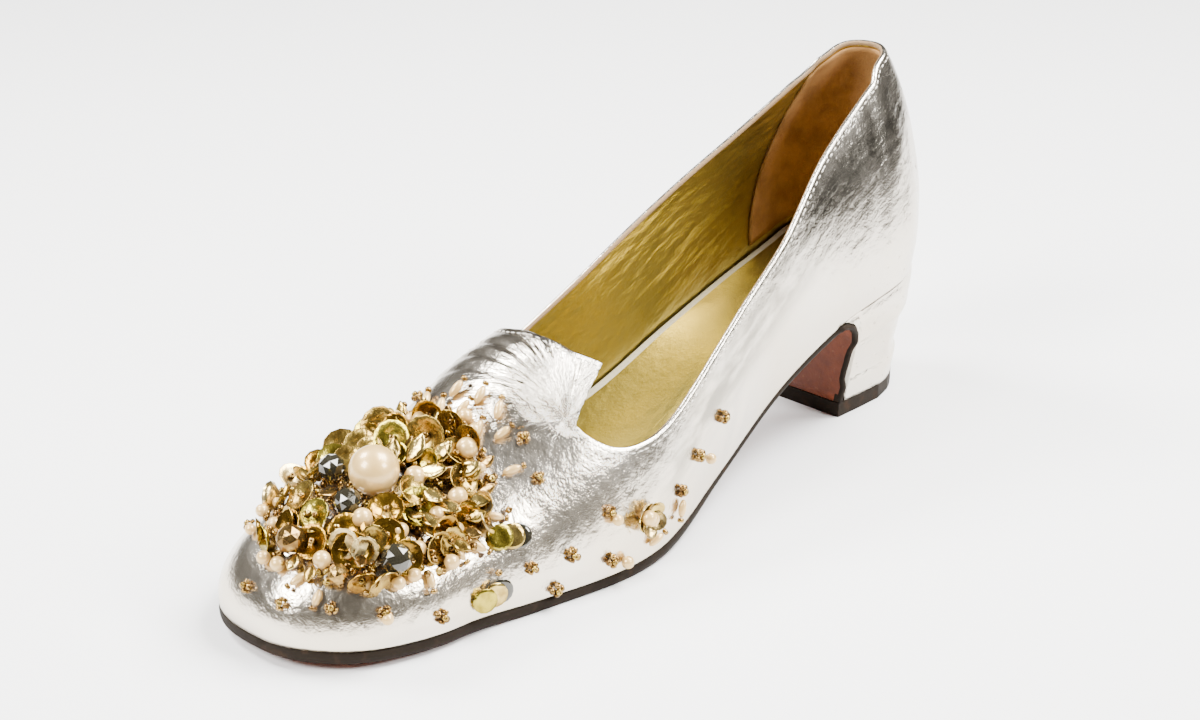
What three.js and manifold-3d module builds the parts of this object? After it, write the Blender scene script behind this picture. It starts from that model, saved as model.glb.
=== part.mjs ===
// A left evening pump of silver leather: a low block heel in tiers, a thin leather sole that turns
// down the heel's front, a tongue cut between two round notches, and pearls, cut stones and cupped
// discs sewn on the vamp. Millimetres: the toe points to -Y, the outer side is +X and up is +Z.
import * as THREE from 'three';
import { mergeVertices } from 'three/addons/utils/BufferGeometryUtils.js';
import Module from 'manifold-3d';

const wasm = await Module();
wasm.setup();
const { clamp, lerp, smoothstep } = THREE.MathUtils;

// Places along the shoe
const HEEL_AXIS = 6;
const TOE_CENTRE = -82;
const HEEL_CENTRE = 94;
const TOE_ARC = 48;
const HEEL_ARC = 40;
const BREAST = 75;

// Thicknesses
const WALL = 1.8;
const GAP = 0.3;
const SOLE = 3;
const WAIST_SOLE = 2.2;
const FLAP = 1.6;
const INSOLE = 2;
const INSOLE_INSET = 2.8;
const INSOLE_BEVEL = 0.8;
const TOPLIFT = 4.4;
const BREAST_BEND = 8;
const SOLE_INSET = 0.4;

// Finishes
const SILVER = { color: 0xc9c5bd, roughness: 0.3, metalness: 1 };
const SOLE_LEATHER = { color: 0x5f2612, roughness: 0.5, metalness: 0 };
const BLACK_RUBBER = { color: 0x141210, roughness: 0.6, metalness: 0 };
const GOLD_LEATHER = { color: 0x8a7a2c, roughness: 0.45, metalness: 0.8 };
const PEARL = { color: 0xeadcc4, roughness: 0.25, metalness: 0 };
const GOLD_BEADS = { color: 0xb48a3a, roughness: 0.3, metalness: 0.8 };

// A turn of 0 to 90 degrees round the heel or the toe, as a station
const heelTurn = (degrees) => HEEL_CENTRE + HEEL_ARC * degrees / 90;
const toeTurn = (degrees) => TOE_CENTRE - TOE_ARC * degrees / 90;

// The last, a row for each section. at: station; spine: its middle, from the heel's axis; out and
// inn: half widths of the feather edge; zOut and zInn: its heights; ridge: height of the closed top;
// belly: how far the side swells; lift: where it swells; brow: fullness of the shoulder.
const LAST = [
  // at, spine, out, inn, zOut, zInn, ridge, belly, lift, brow
  [toeTurn(90), -13, 40, 40, 6.4, 6.4, 32, 2, 0.5, 0.6],
  [toeTurn(60), -13, 36.5, 40.5, 5.8, 5.8, 32, 2, 0.5, 0.6],
  [toeTurn(30), -13, 31.8, 35, 4.8, 4.8, 32, 2, 0.5, 0.6],
  [TOE_CENTRE, -13, 31, 31.5, 4.2, 4.2, 32, 2, 0.5, 0.6],
  [-60, -11, 34.5, 33.5, 3.2, 3.2, 40, 2, 0.45, 0.6],
  [-36, -8.5, 38, 35.5, 3.2, 3.2, 52, 2, 0.45, 0.65],
  [-18, -7.5, 37.5, 30, 4.5, 6.5, 58, 2.5, 0.42, 0.85],
  [10, -6.5, 31, 21, 11, 16.5, 74, 5, 0.42, 1.05],
  [40, -5.5, 27, 18, 23.5, 28, 90, 7, 0.42, 0.9],
  [68, -3, 25, 21.5, 33.2, 33.4, 104, 7, 0.42, 0.25],
  [HEEL_CENTRE, 0, 24, 24.5, 38.5, 38.5, 112, 7, 0.42, 0.1],
  [heelTurn(30), 0, 22.8, 24.5, 42, 42, 112, 7, 0.42, 0.2],
  [heelTurn(60), 0, 22.6, 23.8, 45, 45, 112, 8, 0.42, 0.6],
  [heelTurn(90), 0, 23.6, 23.6, 46.5, 46.5, 112, 9, 0.42, 0.78],
];

// The opening's edge from the tongue's corner round the notch and along the collar to the back seam,
// and the tongue's top edge. foot: where a column leaves the feather edge; at and up: station and
// height up the section where it ends, on the outer and the inner side.
const COLLAR = [
  // foot, atOut, upOut, atInn, upInn
  [-80, -22.5, 0.76, -22.5, 0.73],
  [-68, -31, 0.745, -29, 0.72],
  [-54, -38, 0.63, -33, 0.62],
  [-38, -32, 0.47, -27, 0.48],
  [-20, -18, 0.43, -16, 0.45],
  [0, 0, 0.445, 0, 0.465],
  [20, 20, 0.47, 20, 0.485],
  [45, 45, 0.48, 45, 0.49],
  [70, 70, 0.53, 70, 0.53],
  [HEEL_CENTRE, HEEL_CENTRE, 0.61, HEEL_CENTRE, 0.61],
  [heelTurn(30), heelTurn(30), 0.65, heelTurn(30), 0.65],
  [heelTurn(60), heelTurn(60), 0.675, heelTurn(60), 0.675],
  [heelTurn(90), heelTurn(90), 0.675, heelTurn(90), 0.675],
];
const TONGUE = [
  // foot, atOut, upOut, atInn, upInn
  [toeTurn(90), -26, 1, -26, 1],
  [-106, -25.5, 0.87, -25.5, 0.86],
  [-80, -22.5, 0.76, -22.5, 0.73],
];

// The heel's wall. down: from the seat (0) to the toplift (1); side and back: how far in from the seat
const HEEL_TIERS = [
  // down, side, back
  [0, 0.5, 0.4],
  [0.1, -0.1, -0.3],
  [0.3, 0.6, 0.2],
  [0.42, 2.2, 1.2],
  [0.46, 2.9, 1.9],
  [0.76, 4.6, 2.9],
  [0.79, 4, 2.3],
  [1, 5.2, 2.5],
];

// Beads, by their place on the last's flattened plan from the heel's axis, the way they point or lean
// in degrees from the outer side, and how far they lean
const CENTRE_PEARL = [-11, -84, 12.6, 7.5];
const PEARLS = [
  // x, y, diameter
  [-7.5, -76.5, 5.5], [-4.5, -62, 5.5], [-1, -72.5, 5], [-1.5, -79.5, 4], [-2.5, -87.5, 3.8],
  [1, -87, 3.8], [-7, -90.5, 5], [-7, -99.5, 4.5], [-13, -104, 3.8], [-16.5, -104, 3.5],
  [-19, -97.5, 3.5], [-15, -62, 4], [-8, -55.5, 4], [-25, -81.5, 3.5], [5.5, -83, 4],
  [3.5, -93.5, 3.5], [2, -77.5, 4],
];
const STONES = [
  // x, y, diameter, height
  [-16.5, -86, 7, 4], [-12, -89.5, 6, 4.2], [-9.5, -71, 8, 5], [-7, -67, 7, 3.6],
  [-5.8, -73, 6, 4.4], [-12.7, -99, 7.5, 3.4], [0.5, -91.5, 7.5, 3.4], [-15, -76, 7, 3.4],
];
const CUPS = [
  // x, y, diameter, way, lean
  [-18, -67, 11, 130, 45], [-23, -74, 9, 170, 50], [-21, -80.5, 9, 180, 35],
  [-21, -92.5, 8, 210, 40], [-17, -92, 9, 240, 25], [-12.5, -94, 9, 260, 30],
  [-4, -82, 11, 0, 15], [-7, -93.5, 10, 280, 20], [-4.5, -95.5, 10, 300, 25],
  [-5, -65, 8, 60, 40], [-24, -87, 8, 190, 60], [-20, -100, 7, 230, 60],
  [-8.5, -59.5, 8, 80, 65], [-12, -60, 8, 100, 65], [-14, -70.5, 9, 120, 30],
];
const OATS = [
  // x, y, length, way
  [-12.5, -49, 5, 70], [-8.3, -49, 5, 95], [-4.5, -49, 5, 115], [-8.5, -104.5, 5, 250],
  [0.5, -97, 5, 290], [6, -88, 5, 330], [6, -75, 6, 20], [-9.5, -52.5, 5, 80],
];
const FLOWERS = [
  // x, y, width
  [-22, -49, 4], [1, -50, 4], [6.5, -52.5, 4], [1, -62.5, 4.6], [-18.3, -110.5, 4], [-9, -110.5, 4],
  [-1, -105.5, 4], [6, -99, 4.4], [13, -89, 4.4], [19.5, -51.5, 4.6], [16, -63, 4], [22.8, -57, 4.6],
  [19, -39, 4.2], [25.8, -40.5, 4.4], [23.2, -14, 4.2], [20, -5.5, 4.4], [17.5, 7, 4.4],
  [-25, -56, 4], [-33, -60, 4], [-36, -75, 4], [-33, -95, 4], [-38, -52, 4], [-32, -39, 4],
  [-30, -20, 4], [-27, -6, 4],
];
const BLOSSOMS = [
  // x, y, width
  [23.5, -28.5, 11],
  [-32.5, -28.5, 11],
];
const DISC_PATCHES = [
  // x, y, width
  [15, -75, 11], [9, -66, 11], [-35, -67, 10],
];

// A smooth curve through a table's rows, at a value of their first column; level: flat at both ends
function along(table, at, level = false) {
  const last = table.length - 1;
  let i = 1;
  while (i < last && at > table[i][0]) i += 1;
  const start = table[i - 1];
  const end = table[i];
  const before = table[i - 2] ?? (level ? [2 * start[0] - end[0], ...end.slice(1)] : start);
  const after = table[i + 1] ?? (level ? [2 * end[0] - start[0], ...start.slice(1)] : end);
  const span = end[0] - start[0];
  const f = (at - start[0]) / span;
  return start.map((value, k) => {
    const slopeIn = (end[k] - before[k]) / (end[0] - before[0]);
    const slopeOut = (after[k] - value) / (after[0] - start[0]);
    return value * (1 + 2 * f) * (1 - f) ** 2 + end[k] * f * f * (3 - 2 * f)
      + span * (slopeIn * f * (1 - f) ** 2 - slopeOut * f * f * (1 - f));
  });
}

const spineAt = (y) => HEEL_AXIS + along(LAST, y, true)[1];

// One side's section of the last at a station
function sectionAt(station, side) {
  const at = clamp(station, toeTurn(90), heelTurn(90));
  const [, , out, inn, zOut, zInn, ridge, belly, lift, brow] = along(LAST, at, true);
  const y = clamp(at, TOE_CENTRE, HEEL_CENTRE);
  const turn = (at - y) / (at > y ? HEEL_ARC : TOE_ARC) * Math.PI / 2;
  const centre = new THREE.Vector3(spineAt(y), y, 0);
  const way = new THREE.Vector3(side * Math.cos(turn), Math.sin(turn), 0);
  const [width, foot] = side > 0 ? [out, zOut] : [inn, zInn];
  return { centre, way, width, foot, ridge, belly, lift, brow };
}

// A point of the last's flattened plan: the feather edge at up = 0, the spine at up = 1
function planPoint(station, side, up) {
  const { centre, way, width } = sectionAt(station, side);
  return centre.clone().addScaledVector(way, width * (1 - up));
}

// The last's surface over a point of its flattened plan
function lastOver(x, y) {
  const cy = clamp(y, TOE_CENTRE, HEEL_CENTRE);
  const cx = spineAt(cy);
  const side = x < cx ? -1 : 1;
  const turn = Math.atan2(y - cy, Math.abs(x - cx)) / (Math.PI / 2);
  const section = sectionAt(cy + turn * (turn > 0 ? HEEL_ARC : TOE_ARC), side);
  const { width, foot, ridge, belly, lift, brow } = section;
  const reach = Math.hypot(x - cx, y - cy);
  const t = 1 - reach / width;
  const a = (1 - t) ** 3;
  const b = 3 * (1 - t) ** 2 * t;
  const c = 3 * (1 - t) * t * t;
  const r = a * width + b * (width + belly) + c * brow * width;
  const z = foot + (ridge - foot) * (b * lift + c + t ** 3);
  const away = reach > 1e-6 ? r / reach : 0;
  return new THREE.Vector3(cx + (x - cx) * away, cy + (y - cy) * away, z);
}

// The last's outward direction over a point of its flattened plan
function outwardOver(x, y) {
  const step = 0.05;
  const alongX = lastOver(x + step, y).sub(lastOver(x - step, y));
  const alongY = lastOver(x, y + step).sub(lastOver(x, y - step));
  return alongX.cross(alongY).normalize();
}

function volume(geometry) {
  const corners = [new THREE.Vector3(), new THREE.Vector3(), new THREE.Vector3()];
  const index = geometry.index.array;
  let sum = 0;
  for (let i = 0; i < index.length; i += 3) {
    corners.forEach((corner, k) => corner.fromBufferAttribute(geometry.attributes.position, index[i + k]));
    sum += corners[0].dot(corners[1].clone().cross(corners[2])) / 6;
  }
  return sum;
}

// The same faces on shared corners, without collapsed ones, facing outward
function closed(source) {
  const bare = new THREE.BufferGeometry();
  bare.setAttribute('position', source.attributes.position);
  bare.setIndex(source.index);
  const merged = mergeVertices(bare, 1e-4);
  const index = Array.from(merged.index.array);
  const kept = [];
  for (let i = 0; i < index.length; i += 3) {
    const [a, b, c] = index.slice(i, i + 3);
    if (a !== b && b !== c && c !== a) kept.push(a, b, c);
  }
  merged.setIndex(volume(merged) < 0 ? kept.reverse() : kept);
  return merged;
}

// A closed mesh from rings of points. The rings close on themselves. In a hoop the last ring joins
// the first; otherwise both end rings are filled.
function loft(rings, hoop = false) {
  const count = rings[0].length;
  const index = [];
  const spans = hoop ? rings.length : rings.length - 1;
  for (let j = 0; j < spans; j += 1) {
    const here = j * count;
    const next = (j + 1) % rings.length * count;
    for (let i = 0; i < count; i += 1) {
      const k = (i + 1) % count;
      index.push(here + i, next + i, next + k, here + i, next + k, here + k);
    }
  }
  const end = spans * count;
  for (let i = 0; !hoop && i < count / 2 - 1; i += 1) {
    const j = count - 1 - i;
    index.push(i, i + 1, j, i + 1, j - 1, j);
    index.push(end + i, end + j, end + i + 1, end + i + 1, end + j, end + j - 1);
  }
  const geometry = new THREE.BufferGeometry();
  const places = rings.flat().flatMap((point) => point.toArray());
  geometry.setAttribute('position', new THREE.Float32BufferAttribute(places, 3));
  geometry.setIndex(index);
  return closed(geometry);
}

function toSolid(source) {
  const geometry = closed(source);
  return new wasm.Manifold(new wasm.Mesh({
    numProp: 3,
    vertProperties: new Float32Array(geometry.attributes.position.array),
    triVerts: new Uint32Array(geometry.index.array),
  }));
}

function toGeometry(solid) {
  const mesh = solid.getMesh();
  const geometry = new THREE.BufferGeometry();
  geometry.setAttribute('position', new THREE.Float32BufferAttribute(mesh.vertProperties, 3));
  geometry.setIndex(Array.from(mesh.triVerts));
  return geometry;
}

const shoe = new THREE.Group();
function add(name, geometry, finish) {
  const mesh = new THREE.Mesh(geometry, new THREE.MeshStandardMaterial(finish));
  mesh.name = name;
  shoe.add(mesh);
}

// Bed: the surface that the feather edge bounds, straight from side to side
function bedEdge(station, side, inset) {
  const here = sectionAt(station, side);
  const there = sectionAt(station, -side);
  const slope = (there.foot - here.foot) / (here.width + there.width);
  return here.centre.addScaledVector(here.way, here.width - inset).setZ(here.foot + slope * inset);
}
const bedPoint = (station, across, inset) => bedEdge(station, -1, inset)
  .lerp(bedEdge(station, 1, inset), (across + 1) / 2);

// Upper: a wall between the last's surface and the same surface set in by its thickness
const COLLAR_COLUMNS = 32;
const TONGUE_COLUMNS = 12;
const WALL_ROWS = 8;

function openingColumns(side) {
  const columns = [];
  const corner = COLLAR[0][0];
  const column = (table, foot) => {
    const [, atOut, upOut, atInn, upInn] = along(table, foot);
    columns.push(side > 0 ? { side, foot, at: atOut, up: upOut } : { side, foot, at: atInn, up: upInn });
  };
  for (let j = 0; j < COLLAR_COLUMNS; j += 1) column(COLLAR, lerp(heelTurn(90), corner, j / COLLAR_COLUMNS));
  for (let j = 0; j <= TONGUE_COLUMNS; j += 1) column(TONGUE, lerp(corner, toeTurn(90), j / TONGUE_COLUMNS));
  return columns;
}

function upper(spread = 0) {
  const columns = [...openingColumns(1), ...openingColumns(-1).slice(1, -1).reverse()];
  const rings = columns.map(({ side, foot, at, up }) => {
    const from = planPoint(foot, side, 0);
    const to = planPoint(at, side, up);
    const face = [];
    const lining = [];
    for (let i = 0; i <= WALL_ROWS; i += 1) {
      const plan = from.clone().lerp(to, i / WALL_ROWS);
      const outward = outwardOver(plan.x, plan.y);
      const point = lastOver(plan.x, plan.y);
      lining.push(point.clone().addScaledVector(outward, -WALL));
      face.push(point.addScaledVector(outward, spread));
    }
    lining[0].copy(bedEdge(foot, side, WALL));
    return [...face, ...lining.reverse()];
  });
  return loft(rings, true);
}

const ACROSS = [-1, -0.66, -0.33, 0, 0.33, 0.66, 1];
function stations(from, to, straightStep, turnStep) {
  const list = [];
  let at = from;
  while (at < to - 1e-6) {
    list.push(at);
    at += at < TOE_CENTRE || at >= HEEL_CENTRE ? turnStep : straightStep;
  }
  return [...list, to];
}


// The outsole leaves the bed where its bend down the heel's front starts
const FLAP_BACK = BREAST + FLAP;
const WAIST_SLOPE = 0.2;
const FLAP_START = FLAP_BACK - BREAST_BEND * (1 + Math.sin(WAIST_SLOPE));
const SOLE_STATIONS = stations(toeTurn(87), FLAP_START, 9, 4.5);
const BED_STATIONS = [...SOLE_STATIONS.slice(0, -1), ...stations(FLAP_START, heelTurn(87), 9, 4.5)];

// The heel's wall at a height, from the tiers
function heelWall(at, side, z) {
  const { centre, way, width, foot } = sectionAt(at, side);
  const down = clamp((foot - GAP - z) / (foot - GAP - TOPLIFT), 0, 1);
  let i = 1;
  while (i < HEEL_TIERS.length - 1 && down > HEEL_TIERS[i][0]) i += 1;
  const [start, end] = [HEEL_TIERS[i - 1], HEEL_TIERS[i]];
  const f = (down - start[0]) / (end[0] - start[0]);
  const sideIn = lerp(start[1], end[1], f);
  const backIn = lerp(start[2], end[2], f);
  return centre.clone().addScaledVector(way, width - lerp(sideIn, backIn, way.y ** 2)).setZ(z);
}

// Side view of the flap's back: points of y and z from the waist to the toplift
function flapPath() {
  const start = bedPoint(FLAP_START, 0, 0);
  const middle = [start.y + BREAST_BEND * Math.sin(WAIST_SLOPE), start.z - GAP - BREAST_BEND * Math.cos(WAIST_SLOPE)];
  const path = [];
  const bends = 6;
  for (let i = 1; i <= bends; i += 1) {
    const angle = lerp(WAIST_SLOPE, -Math.PI / 2, i / bends);
    const down = [Math.sin(angle), -Math.cos(angle)];
    path.push({ y: middle[0] - BREAST_BEND * down[0], z: middle[1] - BREAST_BEND * down[1], down });
  }
  const low = path[path.length - 1];
  for (const z of [lerp(low.z, TOPLIFT, 0.5), TOPLIFT + GAP]) path.push({ ...low, z });
  return path;
}

// Outsole: rows along the bed, then round the bend and down the heel's front
function outsole() {
  const rows = SOLE_STATIONS.map((at) => ({
    points: ACROSS.map((k) => bedPoint(at, k, SOLE_INSET)),
    thick: lerp(SOLE, WAIST_SOLE, smoothstep(at, -20, 20)),
  }));
  const rings = rows.map(({ points, thick }, i) => {
    const before = rows[Math.max(i - 1, 0)].points[3];
    const after = rows[Math.min(i + 1, rows.length - 1)].points[3];
    const slope = after.clone().sub(before).setX(0).normalize();
    const down = new THREE.Vector3(0, slope.z, -slope.y);
    const top = points.map((point) => point.clone().addScaledVector(down, GAP));
    const bottom = points.map((point) => {
      const under = point.clone().addScaledVector(down, GAP + thick);
      return under.setZ(Math.max(under.z, 0));
    });
    return [...top, ...bottom.reverse()];
  });
  for (const { y, z, down } of flapPath()) {
    const [inner, outer] = [-1, 1].map((side) => heelWall(BREAST, side, z));
    const top = ACROSS.map((k) => inner.clone().lerp(outer, (k + 1) / 2).setY(y).setZ(z));
    const bottom = top.map((point) => point.clone().add(new THREE.Vector3(0, down[0] * FLAP, down[1] * FLAP)));
    rings.push([...top, ...bottom.reverse()]);
  }
  return loft(rings);
}

// Heel block: rows from front to back under the seat, cut to the flap that covers its front
const LIP = 3.5;
function heelBlock() {
  const heights = HEEL_TIERS.map(([down]) => down);
  const rings = stations(FLAP_START + LIP, heelTurn(87), 6, 4).map((at) => {
    const wall = (side) => {
      const { foot } = sectionAt(at, side);
      return heights.map((down) => heelWall(at, side, lerp(foot - GAP, TOPLIFT + GAP, down)));
    };
    return [...wall(1), ...wall(-1).reverse()];
  });
  const front = new THREE.Shape();
  const path = flapPath();
  const under = -10;
  front.moveTo(FLAP_START - 20, under);
  front.lineTo(FLAP_START - 20, path[0].z - 2);
  for (const { y, z, down } of path) front.lineTo(y - down[0] * GAP, z - down[1] * GAP);
  front.lineTo(FLAP_BACK + GAP, under);
  const width = 80;
  const cutter = new THREE.ExtrudeGeometry(front, { depth: width, bevelEnabled: false });
  cutter.applyMatrix4(new THREE.Matrix4().set(0, 0, 1, -width / 2, 1, 0, 0, 0, 0, 1, 0, 0, 0, 0, 0, 1));
  return toGeometry(toSolid(loft(rings)).subtract(toSolid(cutter)));
}

function toplift() {
  const rings = stations(BREAST, heelTurn(87), 9, 5).map((at) => {
    const [outer, inner] = [1, -1].map((side) => heelWall(at, side, TOPLIFT));
    return [outer, outer.clone().setZ(0), inner.clone().setZ(0), inner];
  });
  return loft(rings);
}

// Insole: the sock on its board, inside the wall
function insole() {
  const rings = BED_STATIONS.map((at) => {
    const bottom = ACROSS.map((k) => bedPoint(at, k, INSOLE_INSET));
    const top = ACROSS.map((k) => bedPoint(at, k, INSOLE_INSET + INSOLE_BEVEL));
    return [...bottom, ...top.map((point) => point.setZ(point.z + INSOLE)).reverse()];
  });
  return loft(rings);
}

// Beads stand on the leather: x and y lie along it and z points out of it
function onLeather(x, y, height, turn = 0, lean = 0) {
  const place = [HEEL_AXIS + x, y];
  const outward = outwardOver(...place);
  const across = new THREE.Vector3(1, 0, 0).addScaledVector(outward, -outward.x).normalize();
  const basis = new THREE.Matrix4().makeBasis(across, outward.clone().cross(across), outward);
  const spin = new THREE.Matrix4().makeRotationZ(turn * Math.PI / 180);
  const tip = new THREE.Matrix4().makeRotationY(lean * Math.PI / 180);
  return basis.multiply(spin).multiply(tip).setPosition(lastOver(...place).addScaledVector(outward, height));
}

const ball = (diameter, detail) => new THREE.IcosahedronGeometry(diameter / 2, detail);
const disc = (diameter) => new THREE.CylinderGeometry(diameter / 2, diameter * 0.42, 0.8, 8).rotateX(Math.PI / 2);
function cup(diameter) {
  const r = diameter / 2;
  const outline = [[0, -0.6], [r, 0.6], [0.85 * r, 1.1], [0, 0.3]];
  return new THREE.LatheGeometry(outline.map(([a, b]) => new THREE.Vector2(a, b)), 7).rotateX(Math.PI / 2);
}
function oat(length) {
  return new THREE.IcosahedronGeometry(length / 2, 1).scale(1, 0.42, 0.42);
}

const leather = toSolid(upper(GAP));
function join(pieces) {
  return pieces.map(toSolid).reduce((all, piece) => all.add(piece)).subtract(leather);
}
const SMALLEST = 20;
function addBodies(name, solid, finish) {
  const bodies = solid.decompose().filter((body) => body.volume() > SMALLEST);
  bodies.sort((a, b) => b.volume() - a.volume());
  bodies.forEach((body, i) => add(i ? `${name}_${i + 1}` : name, toGeometry(body), finish));
}

// A cup leans so that its low edge meets the leather
function leaningCup(x, y, width, way, lean) {
  const height = width / 2 * Math.sin(lean * Math.PI / 180) * 0.7 + 0.2;
  return cup(width).applyMatrix4(onLeather(x, y, height, way, lean));
}

// A cut stone stands on a short setting
function stone(x, y, width, height) {
  const setting = new THREE.CylinderGeometry(width * 0.45, width * 0.3, height, 8);
  setting.rotateX(Math.PI / 2).translate(0, 0, -height / 2);
  const place = onLeather(x, y, height);
  return [ball(width, 0).applyMatrix4(place), setting.applyMatrix4(place)];
}

function cluster() {
  const pieces = [
    ...PEARLS.map(([x, y, width]) => ball(width, width > 4.5 ? 1 : 0).applyMatrix4(onLeather(x, y, width * 0.42))),
    ...STONES.flatMap((row) => stone(...row)),
    ...CUPS.map((row) => leaningCup(...row)),
    ...OATS.map(([x, y, length, way]) => oat(length).applyMatrix4(onLeather(x, y, length * 0.18, way))),
  ];
  return join(pieces);
}

function flower(x, y, width) {
  const seed = width * 0.3;
  return join([0, 1, 2].map((i) => new THREE.OctahedronGeometry(seed)
    .translate(width * 0.24, 0, 0)
    .applyMatrix4(onLeather(x, y, seed * 0.8, i * 120))));
}

function blossom(x, y, width) {
  const petals = [0, 1, 2, 3, 4].map((i) => disc(width * 0.5)
    .translate(width * 0.3, 0, 0)
    .applyMatrix4(onLeather(x, y, 1 + 0.1 * i, i * 72)));
  return join([ball(width * 0.4, 1).applyMatrix4(onLeather(x, y, width * 0.2)), ...petals]);
}

function discPatch(x, y, width) {
  return join([0, 1, 2].map((i) => disc(width * 0.6)
    .translate(width * 0.2, 0, 0)
    .applyMatrix4(onLeather(x, y, 0.8 + 0.3 * i, i * 120))));
}

add('upper', upper(), SILVER);
add('outsole', outsole(), SOLE_LEATHER);
add('heel_block', heelBlock(), SILVER);
add('toplift', toplift(), BLACK_RUBBER);
add('insole', insole(), GOLD_LEATHER);

const [pearlX, pearlY, pearlSize, pearlHeight] = CENTRE_PEARL;
const centrePearl = toSolid(ball(pearlSize, 2).applyMatrix4(onLeather(pearlX, pearlY, pearlHeight)));
const pearlRoom = toSolid(ball(pearlSize + 2 * GAP, 2).applyMatrix4(onLeather(pearlX, pearlY, pearlHeight)));
add('centre_pearl', toGeometry(centrePearl.subtract(leather)), PEARL);
addBodies('bead_cluster', cluster().subtract(pearlRoom), GOLD_BEADS);
FLOWERS.forEach(([x, y, width], i) => add(`seed_flower_${i + 1}`, toGeometry(flower(x, y, width)), GOLD_BEADS));
BLOSSOMS.forEach(([x, y, width], i) => add(`blossom_${i + 1}`, toGeometry(blossom(x, y, width)), GOLD_BEADS));
DISC_PATCHES.forEach(([x, y, width], i) => add(`disc_patch_${i + 1}`, toGeometry(discPatch(x, y, width)), GOLD_BEADS));

export default shoe;
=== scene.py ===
"""Looks of a left evening pump of silver leather, laid out as a Blender add-on.

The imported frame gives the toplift, and the nodes that the new pieces stand for. The new pieces are
made over the last's surface, worked out in millimetres from the table of sections below, and are
scaled to metres when their meshes are made. The toe points to -Y, the outer side is +X and up is +Z.
"""

import math
import random

import bmesh
import bpy
from mathutils import Matrix, Vector


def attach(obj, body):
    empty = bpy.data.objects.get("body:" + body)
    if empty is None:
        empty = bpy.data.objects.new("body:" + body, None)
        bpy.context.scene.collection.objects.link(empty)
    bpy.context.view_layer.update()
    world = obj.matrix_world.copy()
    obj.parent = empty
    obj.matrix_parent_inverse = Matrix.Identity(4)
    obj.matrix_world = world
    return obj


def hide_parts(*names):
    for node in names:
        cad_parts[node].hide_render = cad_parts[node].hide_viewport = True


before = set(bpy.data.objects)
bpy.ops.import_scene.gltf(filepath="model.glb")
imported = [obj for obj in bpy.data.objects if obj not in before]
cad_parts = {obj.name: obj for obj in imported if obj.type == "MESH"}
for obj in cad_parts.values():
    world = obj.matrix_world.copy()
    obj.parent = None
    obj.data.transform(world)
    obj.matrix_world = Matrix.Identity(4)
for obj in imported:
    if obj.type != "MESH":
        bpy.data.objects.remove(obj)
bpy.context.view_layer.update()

bl_info = {
    "name": "Beaded silver pump",
    "version": (1, 0, 0),
    "blender": (4, 5, 0),
    "location": "View3D > Sidebar > Pump",
    "description": "Makes the pieces, finishes and studio of a beaded silver evening pump",
    "category": "Add Mesh",
}

MM = 0.001
TINY = 1e-6

# Places along the shoe
HEEL_AXIS = 6
TOE_CENTRE = -82
HEEL_CENTRE = 94
TOE_ARC = 48
HEEL_ARC = 40
BREAST = 75

# Thicknesses
WALL = 1.8
SOLE = 3
WAIST_SOLE = 2.2
FLAP = 1.6
INSOLE = 2
TOPLIFT = 4.4

# The gap between two pieces, and the finer line between the heel's cover and the upper
GAP = 0.3
SEAM = 0.05

# The outsole's bend down the heel's front: its radius, and how steeply the waist comes to it
BREAST_BEND = 8
WAIST_SLOPE = 0.2


def heel_turn(degrees):
    return HEEL_CENTRE + HEEL_ARC * degrees / 90


def toe_turn(degrees):
    return TOE_CENTRE - TOE_ARC * degrees / 90


# The last, a row for each section. at: station; spine: its middle, from the heel's axis; out and
# inn: half widths of the feather edge; z_out and z_inn: its heights; ridge: height of the closed
# top; belly: how far the side swells; lift: where it swells; brow: fullness of the shoulder.
LAST = [
    # at, spine, out, inn, z_out, z_inn, ridge, belly, lift, brow
    (toe_turn(90), -13, 40, 40, 6.4, 6.4, 32, 2, 0.5, 0.6),
    (toe_turn(60), -13, 36.5, 40.5, 5.8, 5.8, 32, 2, 0.5, 0.6),
    (toe_turn(30), -13, 31.8, 35, 4.8, 4.8, 32, 2, 0.5, 0.6),
    (TOE_CENTRE, -13, 31, 31.5, 4.2, 4.2, 32, 2, 0.5, 0.6),
    (-60, -11, 34.5, 33.5, 3.2, 3.2, 40, 2, 0.45, 0.6),
    (-36, -8.5, 38, 35.5, 3.2, 3.2, 52, 2, 0.45, 0.65),
    (-18, -7.5, 37.5, 30, 4.5, 6.5, 58, 2.5, 0.42, 0.85),
    (10, -6.5, 31, 21, 11, 16.5, 74, 5, 0.42, 1.05),
    (40, -5.5, 27, 18, 23.5, 28, 90, 7, 0.42, 0.9),
    (68, -3, 25, 21.5, 33.2, 33.4, 104, 7, 0.42, 0.25),
    (HEEL_CENTRE, 0, 24, 24.5, 38.5, 38.5, 112, 7, 0.42, 0.1),
    (heel_turn(30), 0, 22.8, 24.5, 42, 42, 112, 7, 0.42, 0.2),
    (heel_turn(60), 0, 22.6, 23.8, 45, 45, 112, 8, 0.42, 0.6),
    (heel_turn(90), 0, 23.6, 23.6, 46.5, 46.5, 112, 9, 0.42, 0.78),
]

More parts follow.
